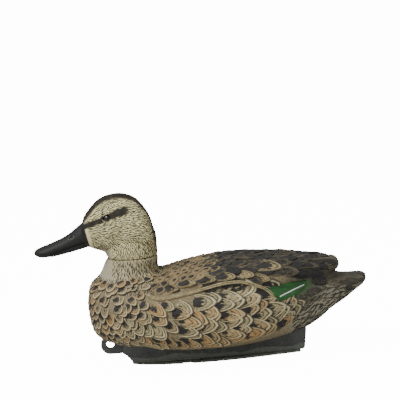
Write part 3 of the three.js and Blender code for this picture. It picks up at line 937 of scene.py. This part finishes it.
def curve_through(corners, steps):
    """Points of a smooth curve through corners, as many as steps for each corner."""
    count = len(corners)
    shares = np.linspace(0, count - 1, (count - 1) * steps + 1)
    found = []
    for share in shares:
        i = min(int(share), count - 2)
        t = share - i
        a, b, c, d = (np.array(corners[min(max(i + k, 0), count - 1)], float) for k in (-1, 0, 1, 2))
        found.append(
            0.5 * (2 * b + (c - a) * t + (2 * a - 5 * b + 4 * c - d) * t * t + (3 * b - a - 3 * c + d) * t**3)
        )
    return found


def join_loops(build, loops):
    """Joins closed loops of points, each to the next, with faces."""
    for one, two in zip(loops, loops[1:]):
        for i in range(len(one)):
            j = (i + 1) % len(one)
            build.faces.new((one[i], one[j], two[j], two[i]))


def finished(name, build, paint):
    """A built shape as a smooth piece that faces outwards, in its paint."""
    bmesh.ops.recalc_face_normals(build, faces=build.faces)
    mesh = bpy.data.meshes.new(name)
    build.to_mesh(mesh)
    build.free()
    mesh.materials.append(paint)
    mesh.shade_smooth()
    return mesh_object(name, mesh)


ribbon_paint, shader = new_material("ribbon_paint", 0.72)
tree = ribbon_paint.node_tree
ribbon_tone = mix(tree, mottle_of(tree, 300), colour(134, 122, 94), colour(176, 164, 130))
tree.links.new(ribbon_tone, shader.inputs["Base Color"])
build = bmesh.new()
for side in (-1, 1):
    line = [seen_at(x, z, side) for x, z in curve_through(RIBBON, RIBBON_STEPS)]
    loops = []
    for i, point in enumerate(line):
        ahead = (line[min(i + 1, len(line) - 1)] - line[max(i - 1, 0)]).normalized()
        up = body_tree.find_nearest(point)[1]
        across = up.cross(ahead).normalized() * side
        narrow = min(1, 0.25 + min(i, len(line) - 1 - i) / 8)
        loops.append(
            [
                build.verts.new(point + across * a * RIBBON_WIDTH * narrow + up * h * MM * narrow)
                for a, h in RIBBON_PROFILE
            ]
        )
    join_loops(build, loops)
    build.faces.new(loops[0])
    build.faces.new(loops[-1])
ribbon = finished("flank_ribbon", build, ribbon_paint)
ribbon.data.set_sharp_from_angle(angle=math.radians(60))
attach(ribbon, "body")

# ---- Tail feathers ----
# Stiff quills fanned over the top of the tail, brown with taupe edges.
tail_paint = paint_feathers(
    "tail_paint",
    Rim=colour(96, 89, 73),
    Line=colour(44, 41, 34),
    Web=colour(68, 64, 53),
    Mark=colour(44, 42, 35),
    Rim_start=0.84,
    Mark_place=0.5,
    Mark_length=0.5,
    Mark_width=0.3,
    Mark_break=0.6,
    Barbs=18.0,
)
QUILLS_EACH_SIDE = 5
tail_roots = []
for quill in range(-QUILLS_EACH_SIDE, QUILLS_EACH_SIDE + 1):
    share = quill / QUILLS_EACH_SIDE
    above = Vector((139.5 - 5 * abs(share), 27 * share, 120)) * MM
    place = body_tree.ray_cast(above, Vector((0, 0, -1)))[0]
    tail_roots.append((place, (1, share * 0.34, -0.3), 1.0 - 0.1 * share * share, 1.0, chance.random(), 0.0))
tail_roots.sort(key=lambda root: -abs(root[0].y))
tail_blank = feather_blank("tail_blank", 22.5 * MM, 9 * MM, 18, CARVED_SMALL, point=0.9)
lay("tail_feathers", tail_blank, tail_roots, body_skin, "body", tail_paint)

# ---- Speculum ----
# The bright wing patch on each side: a deep green panel with one white bar across it.
SPECULUM = ((58, 76.5), (78, 80), (103, 81.5), (101, 75.5), (90, 68.5), (80, 64.5), (72, 63.5))
EDGE_STEPS = 5
PATCH_RINGS = ((1.0, 0.3), (0.92, 0), (0.6, 0))
WHITE_BAR = ((73, 66.5), (99.8, 78.6), (100.2, 79.9), (73.4, 67.8))


def patch_blank(name, corners, mirrored, lift):
    """A flat patch with its first corner at the origin, drawn in a side view of the duck's left side."""
    outline = []
    drawn = [Vector((x - corners[0][0], z - corners[0][1], 0)) * MM for x, z in corners]
    for one, two in zip(drawn, drawn[1:] + drawn[:1]):
        outline += [one.lerp(two, step / EDGE_STEPS) for step in range(EDGE_STEPS)]
    if mirrored:
        outline = [Vector((p.x, -p.y, 0)) for p in outline]
    area = sum(a.x * b.y - b.x * a.y for a, b in zip(outline, outline[1:] + outline[:1]))
    if area < 0:
        outline.reverse()
    heart = sum(outline, Vector()) / len(outline)
    return blank_of(name, outline, heart, 40 * MM, 20 * MM, PATCH_RINGS, lambda point: lift)


green_paint, shader = new_material("speculum_green", 0.45)
tree = green_paint.node_tree
streaks = noise(tree, 300, 3, (0.25, 1, 1))
green = mix(tree, step_between(tree, streaks, 0.35, 0.7), colour(0, 58, 14), colour(6, 88, 30))
tree.links.new(green, shader.inputs["Base Color"])
white_paint, shader = new_material("bar_white", 0.6)
tree = white_paint.node_tree
white = mix(tree, mottle_of(tree, 500, 2), colour(206, 206, 200), colour(236, 236, 232))
tree.links.new(white, shader.inputs["Base Color"])
for name, corners, paint, lift in (
    ("speculum", SPECULUM, green_paint, 1.9 * MM),
    ("white_bar", WHITE_BAR, white_paint, 2.4 * MM),
):
    for side, word in ((-1, "left"), (1, "right")):
        blank = patch_blank(name + "_blank", corners, side > 0, lift)
        first_x, first_z = corners[0]
        place = touch(body_tree, (first_x, 0, first_z), (0, side, 0))
        root = (place, (1, 0, 0), 1, 1, 0.5, 0.0)
        lay(f"{name}_{word}", blank, [root], body_skin, "body", paint)

# ---- Fine dashes on the body ----
# Short carved strokes that stand for the small feathers of the neck, the rump and under the tail.
DASH = ((0, 0), (0.3, -0.45), (0.7, -0.4), (1, 0), (0.7, 0.4), (0.3, 0.45))
DASH_TRIES = 60000


def dash_blank(name, length, width, height):
    """A lens-shaped stroke from the origin along +X."""
    outline = [Vector((length * forward, width * aside, 0)) for forward, aside in DASH]
    heart = Vector((length / 2, 0, 0))
    return blank_of(name, outline, heart, length, width, ((1.0, 0.25),), lambda point: height)


def scattered(skin, spacing, wanted, seed):
    """Random points on a skin where wanted(point) is true, none closer than spacing."""
    draw = random.Random(seed)
    mesh = skin.data
    mesh.calc_loop_triangles()
    corners = places(mesh)[np.array([t.vertices for t in mesh.loop_triangles])]
    edges = np.cross(corners[:, 1] - corners[:, 0], corners[:, 2] - corners[:, 0])
    running = np.cumsum(np.linalg.norm(edges, axis=1))
    cells = {}
    kept = []
    for _ in range(DASH_TRIES):
        a, b, c = corners[np.searchsorted(running, draw.random() * running[-1])]
        u, v = sorted((draw.random(), draw.random()))
        point = a * u + b * (v - u) + c * (1 - v)
        if not wanted(*point / MM):
            continue
        cell = tuple((point // spacing).astype(int))
        near = (
            other
            for i in (-1, 0, 1)
            for j in (-1, 0, 1)
            for k in (-1, 0, 1)
            for other in cells.get((cell[0] + i, cell[1] + j, cell[2] + k), ())
        )
        if any(np.sum((point - other) ** 2) < spacing**2 for other in near):
            continue
        cells.setdefault(cell, []).append(point)
        kept.append(point)
    return kept


def on_throat(x, z):
    """The plain grey-beige front of the neck, with an uneven edge."""
    return x < -84 + 2.5 * math.sin(1.9 * z)


def on_neck(x, y, z):
    above_breast = z > 80 and z > 84 - 0.12 * (x + 110)
    return above_breast and x < -38 and not (on_throat(x, z) and z > 93)


def on_rump(x, y, z):
    under_wing = z < 84 - max(0, 118 - x) * 0.75
    return 84 < x < 156 and under_wing and z < 70 + (x - 100) * 0.1 and z > 22


neck_dashes = []
for point in scattered(body_skin, 1.9 * MM, on_neck, 3):
    slant = (0.25 * chance.uniform(-1, 1), 0.2 * chance.uniform(-1, 1), -1)
    long = chance.uniform(0.7, 1.3)
    wide = chance.uniform(0.8, 1.2)
    neck_dashes.append((tuple(point), slant, long, wide, 0.5, 0.0))
rump_dashes = []
for point in scattered(body_skin, 2.35 * MM, on_rump, 4):
    slant = (1, 0, chance.uniform(-0.4, 0.9))
    long = chance.uniform(0.7, 1.5)
    wide = chance.uniform(0.8, 1.2)
    rump_dashes.append((tuple(point), slant, long, wide, 0.5, 0.0))


def plain_brush(name, dark, pale, scale):
    """Two shades of one paint, mottled."""
    material, shader = new_material(name, 0.75)
    tree = material.node_tree
    tree.links.new(mix(tree, mottle_of(tree, scale), dark, pale), shader.inputs["Base Color"])
    add_bump(tree, shader, noise(tree, scale * 4))
    return material


dash_paint = plain_brush("dash_paint", colour(26, 24, 19), colour(60, 54, 41), 300)
neck_blank = dash_blank("neck_blank", 4.2 * MM, 0.95 * MM, 0.4 * MM)
rump_blank = dash_blank("rump_blank", 4.4 * MM, 1.3 * MM, 0.5 * MM)
lay("neck_strokes", neck_blank, neck_dashes, body_skin, "body", dash_paint)
lay("rump_strokes", rump_blank, rump_dashes, body_skin, "body", dash_paint)

# ---- Body paint ----
# The skin between and below the feathers: cream-khaki on the neck, with a plain grey-beige throat, taupe on
# the back and the lower edge, and grey-olive on the rump, with a little green tint below the speculum.
THROAT_TONE = colour(168, 160, 140)
body_paint, shader = new_material("body_paint", 0.75)
tree = body_paint.node_tree
where = object_place(tree)
mottle = mottle_of(tree, 420)
wander = times(tree, about_zero(tree, noise(tree, 60)), 0.012)
x_here = plus(tree, where["X"], wander)
z_here = plus(tree, where["Z"], wander)
ground = mix(tree, mottle, colour(108, 98, 76), colour(138, 126, 100))
above_belly = minus(tree, z_here, times(tree, minus(tree, x_here, 0.1), 0.6))
rump_tone = mix(tree, mottle, colour(60, 59, 49), colour(84, 82, 69))
under_tone = mix(tree, mottle, colour(128, 124, 106), colour(156, 152, 131))
rump_tone = mix(tree, step_between(tree, above_belly, 0.064, 0.046), rump_tone, under_tone)
ground = mix(tree, step_between(tree, x_here, 0.070, 0.095), ground, rump_tone)
green_edge = times(tree, minus(tree, where["X"], 0.080), 0.42)
over_edge = minus(tree, minus(tree, where["Z"], 0.0645), green_edge)
green_tint = step_between(tree, over_edge, -0.007, 0.0)
green_tint = times(tree, green_tint, step_between(tree, over_edge, 0.007, 0.003))
green_tint = times(tree, green_tint, step_between(tree, where["X"], 0.109, 0.101))
green_tint = times(tree, green_tint, times(tree, step_between(tree, where["X"], 0.07, 0.08), 0.75))
ground = mix(tree, green_tint, ground, colour(62, 104, 58))
on_tail = times(tree, step_between(tree, x_here, 0.122, 0.130), step_between(tree, z_here, 0.066, 0.071))
ground = mix(tree, on_tail, ground, mix(tree, mottle, colour(62, 57, 46), colour(84, 77, 63)))
at_neck = times(tree, step_between(tree, z_here, 0.080, 0.092), step_between(tree, x_here, -0.034, -0.044))
ground = mix(tree, at_neck, ground, mix(tree, mottle, colour(148, 140, 112), colour(186, 176, 144)))
at_throat = times(tree, step_between(tree, where["X"], -0.082, -0.092), at_neck)
ground = mix(tree, at_throat, ground, THROAT_TONE)
tree.links.new(ground, shader.inputs["Base Color"])
add_bump(tree, shader, noise(tree, 1500))
body_skin.data.materials.append(body_paint)
body_skin.data.shade_smooth()
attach(body_skin, "body")
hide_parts("body_shell")

# ---- Head skin ----
# The head is moulded in one with its bill. The face ends in a raised edge round the bill, which has two
# nostrils and a groove along each side where the lower half shuts.
HEAD_VOXEL = 0.85 * MM
FACE_EDGE = -82.8
FACE_LEAN = 0.2
GROOVE_FRONT = (-147, 117.6)
GROOVE_BACK = (-112.6, 127)
GROOVE_SLOPE = 0.273
NOSTRIL_X = -125
NOSTRIL_Z = 132.8
pilot_plug = (neck_x, 0, 3 * MM, seam_z - 6 * MM, seam_z + 11 * MM)
vent_plug = (neck_x + 11 * MM, 0, 3.4 * MM, seam_z - 6 * MM, seam_z + 8 * MM)
head_skin = outer_skin("head_skin", "head_shell", HEAD_VOXEL, [pilot_plug, vent_plug])
points = places(head_skin.data)
x, y, z = points.T / MM

# The cheek and brow run into each other, but the seam and the eye's socket stay as they are.
eye_low, eye_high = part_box("eye_left")
eye_x, eye_y, eye_z = (Vector(eye_low) + Vector(eye_high)) / 2 / MM
from_eye = np.sqrt((x - eye_x) ** 2 + (np.abs(y) - abs(eye_y)) ** 2 + (z - eye_z) ** 2)
loose = np.clip(0.35 + blend_between(112, 116, z) * (1 - blend_between(126, 134, z)) * (x > -106), 0, 1)
loose *= blend_between(110, 112, z) * blend_between(4.5, 7, from_eye)
loose[(x < -108)] = 0.2
soften(head_skin, loose, 50)

# How far each point is pushed out: the face's raised edge, the bill, the nape, the brow and the crown's top.
points = places(head_skin.data)
x, y, z = points.T / MM
behind_edge = x - (FACE_EDGE - FACE_LEAN * z)
push = 0.35 * blend_between(-0.6, 0.6, behind_edge) * (1 - blend_between(2, 9, behind_edge)) - 0.1
push += 0.6 * blend_between(-1, 6, -behind_edge) - 0.2 * (z < 111)
push += 0.6 * blend_between(-76, -60, x) * blend_between(118, 128, z)
push += 0.5 * blend_between(-98, -112, x) * blend_between(140, 150, z)
push -= 0.35 * blend_between(166, 171, z)

# The bill's groove with a lip below it, and the hollow of each nostril.
along_bill = (x - GROOVE_BACK[0]) / (GROOVE_FRONT[0] - GROOVE_BACK[0])
groove_z = GROOVE_BACK[1] + along_bill * (GROOVE_FRONT[1] - GROOVE_BACK[1])
on_side = (along_bill > 0) & (along_bill < 1.0)
push -= 1.3 * np.exp(-(((z - groove_z) / 0.9) ** 2)) * on_side
push += 0.5 * np.exp(-(((z - groove_z + 2.2) / 1.2) ** 2)) * on_side
along_nostril = ((x - NOSTRIL_X) * 0.9 + (z - NOSTRIL_Z) * 0.44) / 3.1
across_nostril = ((z - NOSTRIL_Z) * 0.9 - (x - NOSTRIL_X) * 0.44) / 1.6
push -= 1.5 * np.exp(-((along_nostril**2 + across_nostril**2) ** 2)) * (np.abs(y) > 3)
points += outward(head_skin.data) * (push * MM)[:, None]
move_points(head_skin.data, points)
store_outward(head_skin)

# ---- Head paint ----
# Cream-khaki, with a near-black crown line, a soft dark stripe through the eye and a charcoal bill, whose
# groove is painted near-black as painted shade.
head_paint, shader = new_material("head_paint", 0.72, Specular_IOR_Level=0.35)
tree = head_paint.node_tree
where = object_place(tree)
smudge = times(tree, about_zero(tree, noise(tree, 220, 3)), 0.004)
x_here, z_here = where["X"], where["Z"]
behind_eye = plus(tree, x_here, 0.0885)
rising = plus(tree, times(tree, behind_eye, 0.36), 0.1518)
level = plus(tree, times(tree, behind_eye, 0.14), 0.1546)
off_stripe = minus(tree, z_here, maths(tree, "MINIMUM", rising, level))
off_stripe = maths(tree, "ABSOLUTE", plus(tree, off_stripe, smudge))
half_wide = times(tree, step_between(tree, x_here, -0.1, -0.08), 0.0012)
stripe = step_between(tree, minus(tree, off_stripe, half_wide), 0.0042, 0.0016)
stripe = times(tree, stripe, step_between(tree, x_here, -0.063, -0.070))
from_middle = plus(tree, maths(tree, "ABSOLUTE", where["Y"]), smudge)
above_brow = plus(tree, z_here, times(tree, x_here, -0.35))
wider = times(tree, step_between(tree, above_brow, 0.155, 0.195), 0.006)
crown = step_between(tree, minus(tree, from_middle, wider), 0.0075, 0.0035)
on_crown = maths(
    tree,
    "MAXIMUM",
    step_between(tree, above_brow, 0.170, 0.178),
    step_between(tree, x_here, -0.064, -0.054),
)
crown = times(tree, crown, on_crown)
face_x = minus(tree, FACE_EDGE * MM, times(tree, z_here, FACE_LEAN))
on_bill = step_between(tree, minus(tree, x_here, face_x), 0.0002, -0.0006)
mottle = mottle_of(tree, 500)
cream = mix(tree, mottle, colour(210, 202, 158), colour(242, 234, 190))
throat = times(tree, step_between(tree, z_here, 0.128, 0.116), step_between(tree, x_here, -0.082, -0.092))
skin_tone = mix(tree, throat, cream, THROAT_TONE)
dark = mix(tree, mottle, colour(26, 25, 20), colour(42, 39, 31))
skin_tone = mix(tree, stripe, skin_tone, dark)
skin_tone = mix(tree, crown, skin_tone, colour(40, 35, 28))
bill_tone = mix(tree, mottle, colour(12, 13, 11), colour(26, 26, 22))
# Painted shade: the bill is painted near-black along its groove.
groove_height = plus(tree, times(tree, plus(tree, x_here, 0.1126), GROOVE_SLOPE), 0.127)
off_groove = maths(tree, "ABSOLUTE", minus(tree, z_here, groove_height))
bill_tone = mix(tree, step_between(tree, off_groove, 0.0013, 0.0005), bill_tone, colour(5, 5, 4))
skin_tone = mix(tree, on_bill, skin_tone, bill_tone)
roughness = minus(tree, 0.74, times(tree, on_bill, 0.12))
tree.links.new(skin_tone, shader.inputs["Base Color"])
tree.links.new(roughness, shader.inputs["Roughness"])
add_bump(tree, shader, noise(tree, 1400), 0.25)
head_skin.data.materials.append(head_paint)
head_skin.data.shade_smooth()
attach(head_skin, "head")
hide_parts("head_shell")


def on_face(x, y, z):
    off_bill = x > FACE_EDGE - FACE_LEAN * z + 2.5
    off_eye = math.dist((x, abs(y), z), (eye_x, abs(eye_y), eye_z)) > 5.5
    return off_bill and off_eye and z > 111.5 and not (on_throat(x, z) and z < 121)


bill_root = np.array((-116, 0, 137)) * MM
head_dashes = []
for point in scattered(head_skin, 1.6 * MM, on_face, 5):
    away = (point - bill_root) / np.linalg.norm(point - bill_root)
    down = float(blend_between(138, 116, point[2] / MM))
    flow_here = away * (1 - down) + np.array((0.15, 0, -1)) * down
    flow_here = flow_here + np.array([chance.uniform(-0.18, 0.18) for _ in range(3)])
    long = chance.uniform(0.7, 1.3)
    wide = chance.uniform(0.7, 1.3)
    head_dashes.append((tuple(point), tuple(flow_here), long, wide, 0.5, 0.0))
head_blank = dash_blank("head_blank", 3.0 * MM, 0.85 * MM, 0.45 * MM)
head_stroke_paint = plain_brush("head_stroke_paint", colour(16, 15, 11), colour(70, 62, 44), 200)
lay("head_strokes", head_blank, head_dashes, head_skin, "head", head_stroke_paint)

# ---- Nostrils ----
# A raised oval lip with a deep slot on each side of the bill. The lip is painted paler than the bill, as a
# painted highlight, and the slot near-black, as painted shade.
head_tree = BVHTree.FromObject(head_skin, bpy.context.evaluated_depsgraph_get())
NOSTRIL_RINGS = ((1.0, 0.85), (0.86, 0.0), (0.74, 0.1), (0.64, 0.85), (0.3, 0.9))
NOSTRIL_LONG = 4.4 * MM
NOSTRIL_TALL = 2.5 * MM
LIP_RISE = 1.1 * MM
heart = Vector((NOSTRIL_LONG, 0, 0))
oval = [
    heart + Vector((NOSTRIL_LONG * math.cos(angle), NOSTRIL_TALL * math.sin(angle), 0))
    for angle in np.linspace(0, 2 * math.pi, 21)[:-1]
]
nostril_blank = blank_of(
    "nostril_blank", oval, heart, 2 * NOSTRIL_LONG, 2 * NOSTRIL_TALL, NOSTRIL_RINGS, lambda point: LIP_RISE
)
nostril_paint, shader = new_material("nostril_paint", 0.5)
tree = nostril_paint.node_tree
lip_ring = node(tree, "ShaderNodeAttribute", attribute_name="ring").outputs["Fac"]
# Painted light: the lip paler than the bill for its highlight, the slot near-black for the shade inside it.
nostril_light_and_shade = mix(tree, mottle_of(tree, 500, 2), colour(70, 71, 64), colour(94, 94, 84))
nostril_light_and_shade = mix(tree, step_between(tree, lip_ring, 0.74, 0.68), nostril_light_and_shade, colour(2, 2, 2))
tree.links.new(nostril_light_and_shade, shader.inputs["Base Color"])
nostril_roots = []
for side in (-1, 1):
    place = touch(head_tree, (-129, 0, 130.6), (0, side, 0))
    nostril_roots.append((place, (1, 0, 0.5), 1, 1, 0.5, 0.0))
lay("nostrils", nostril_blank, nostril_roots, head_skin, "head", nostril_paint)

# That was the last piece to be laid, so the blanks are cleared away.
for blank in blanks:
    bpy.data.objects.remove(blank)

# ---- Eyes ----
# Glass balls, all but black, each held by a thin moulded lid: dark above and pale below.
LID_RADIUS = 3.9 * MM
LID_STEPS = 32
# Out from the lid's line and above the skin, in millimetres.
LID_PROFILE = ((-0.45, -0.8), (-0.35, 0.35), (0, 0.6), (0.4, 0.4), (0.7, -0.8))
eye_glass, shader = new_material(
    "eye_glass", 0.05, Specular_IOR_Level=0.35, Coat_Weight=0.6, Coat_Roughness=0.03
)
tree = eye_glass.node_tree
iris = step_between(tree, noise(tree, 900, 2), 0.4, 0.7)
tree.links.new(mix(tree, iris, colour(4, 3, 2), colour(16, 10, 6)), shader.inputs["Base Color"])
lid_paint, shader = new_material("lid_paint", 0.6)
tree = lid_paint.node_tree
low_side = step_between(tree, object_place(tree)["Z"], eye_z * MM + 0.0005, eye_z * MM - 0.002)
tree.links.new(mix(tree, low_side, colour(30, 27, 22), colour(168, 158, 126)), shader.inputs["Base Color"])
build = bmesh.new()
for side in (-1, 1):
    centre = Vector((eye_x, side * abs(eye_y), eye_z)) * MM
    out = head_tree.find_nearest(centre + Vector((0, side * 6 * MM, 0)))[1]
    right = out.cross(Vector((0, 0, 1))).normalized()
    up = right.cross(out)
    loops = []
    for step in range(LID_STEPS):
        angle = 2 * math.pi * step / LID_STEPS
        radial = right * math.cos(angle) + up * math.sin(angle) * 0.9
        on_skin = head_tree.find_nearest(centre + radial * LID_RADIUS + out * 3 * MM)[0]
        loops.append([build.verts.new(on_skin + radial * a * MM + out * h * MM) for a, h in LID_PROFILE])
    join_loops(build, loops + loops[:1])
eyelids = finished("eyelids", build, lid_paint)
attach(eyelids, "head")

# ---- Keel, fasteners and seals ----
# The keel, its base plate and the line loop are moulded in charcoal plastic. Zinc-plated screws hold them,
# over a cast ballast bar. The head turns on a nylon post with a rubber washer, and a rubber bung closes the
# hull.


def keel_material(name, dark, pale, scale, roughness, grain, metallic=0.0, foot=0.0):
    """A moulded or cast finish: two shades in broad clouds, worn where it was handled, and a fine grain.

    Below the height foot, in metres, it is painted paler, as painted light on the keel's lit foot.
    """
    material, shader = new_material(name, roughness, Metallic=metallic)
    tree = material.node_tree
    clouds = noise(tree, scale, 4)
    scuffs = step_between(tree, noise(tree, scale * 9, 3, (0.3, 1, 1)), 0.6, 0.78)
    shade = mix(tree, step_between(tree, clouds, 0.3, 0.7), dark, pale)
    shade = mix(tree, times(tree, scuffs, 0.35), shade, colour(150, 150, 144))
    if foot > 0:
        # Painted light: below the foot height the keel is painted paler, for its lit foot under the hull's
        # shade.
        where = object_place(tree)
        wander = times(tree, about_zero(tree, noise(tree, 40)), 0.012)
        height = plus(tree, where["Z"], wander)
        painted_light_foot = times(tree, step_between(tree, height, foot * 1.12, foot * 0.88), 0.7)
        shade = mix(tree, painted_light_foot, shade, colour(140, 144, 136))
    worn = plus(tree, times(tree, clouds, 0.2), roughness - 0.1)
    tree.links.new(shade, shader.inputs["Base Color"])
    tree.links.new(worn, shader.inputs["Roughness"])
    add_bump(tree, shader, noise(tree, grain))
    return material


# How high the painted light on the keel's foot reaches.
KEEL_FOOT = 8.5 * MM
charcoal, worn_charcoal = colour(70, 73, 69), colour(94, 97, 91)
keel_plastic = keel_material("keel_plastic", charcoal, worn_charcoal, 90, 0.5, 2500, foot=KEEL_FOOT)
# The base plate is painted paler than the keel: painted light, for the lit top of its flange.
plate_painted_lit = keel_material("plate_painted_lit", colour(112, 116, 109), colour(140, 144, 136), 120, 0.55, 2500)
zinc_steel = keel_material("zinc_steel", colour(150, 152, 155), colour(190, 192, 196), 400, 0.35, 3000, 1.0)
cast_iron = keel_material("cast_iron", colour(66, 62, 57), colour(96, 90, 82), 300, 0.7, 900, 0.8)
nylon = keel_material("nylon", colour(206, 200, 184), colour(224, 220, 206), 200, 0.5, 2000)
rubber = keel_material("rubber", colour(26, 26, 26), colour(44, 44, 43), 250, 0.85, 2200)
FINISHES = {
    "keel_base_plate": plate_painted_lit,
    "eye": eye_glass,
    "keel_screw": zinc_steel,
    "plate_screw": zinc_steel,
    "swivel_screw": zinc_steel,
    "ballast": cast_iron,
    "swivel_post": nylon,
    "friction": rubber,
    "drain": rubber,
}
for cad_name, made in frame["nodes"].items():
    finish = next((f for start, f in FINISHES.items() if cad_name.startswith(start)), keel_plastic)
    made.data.materials.clear()
    made.data.materials.append(finish)
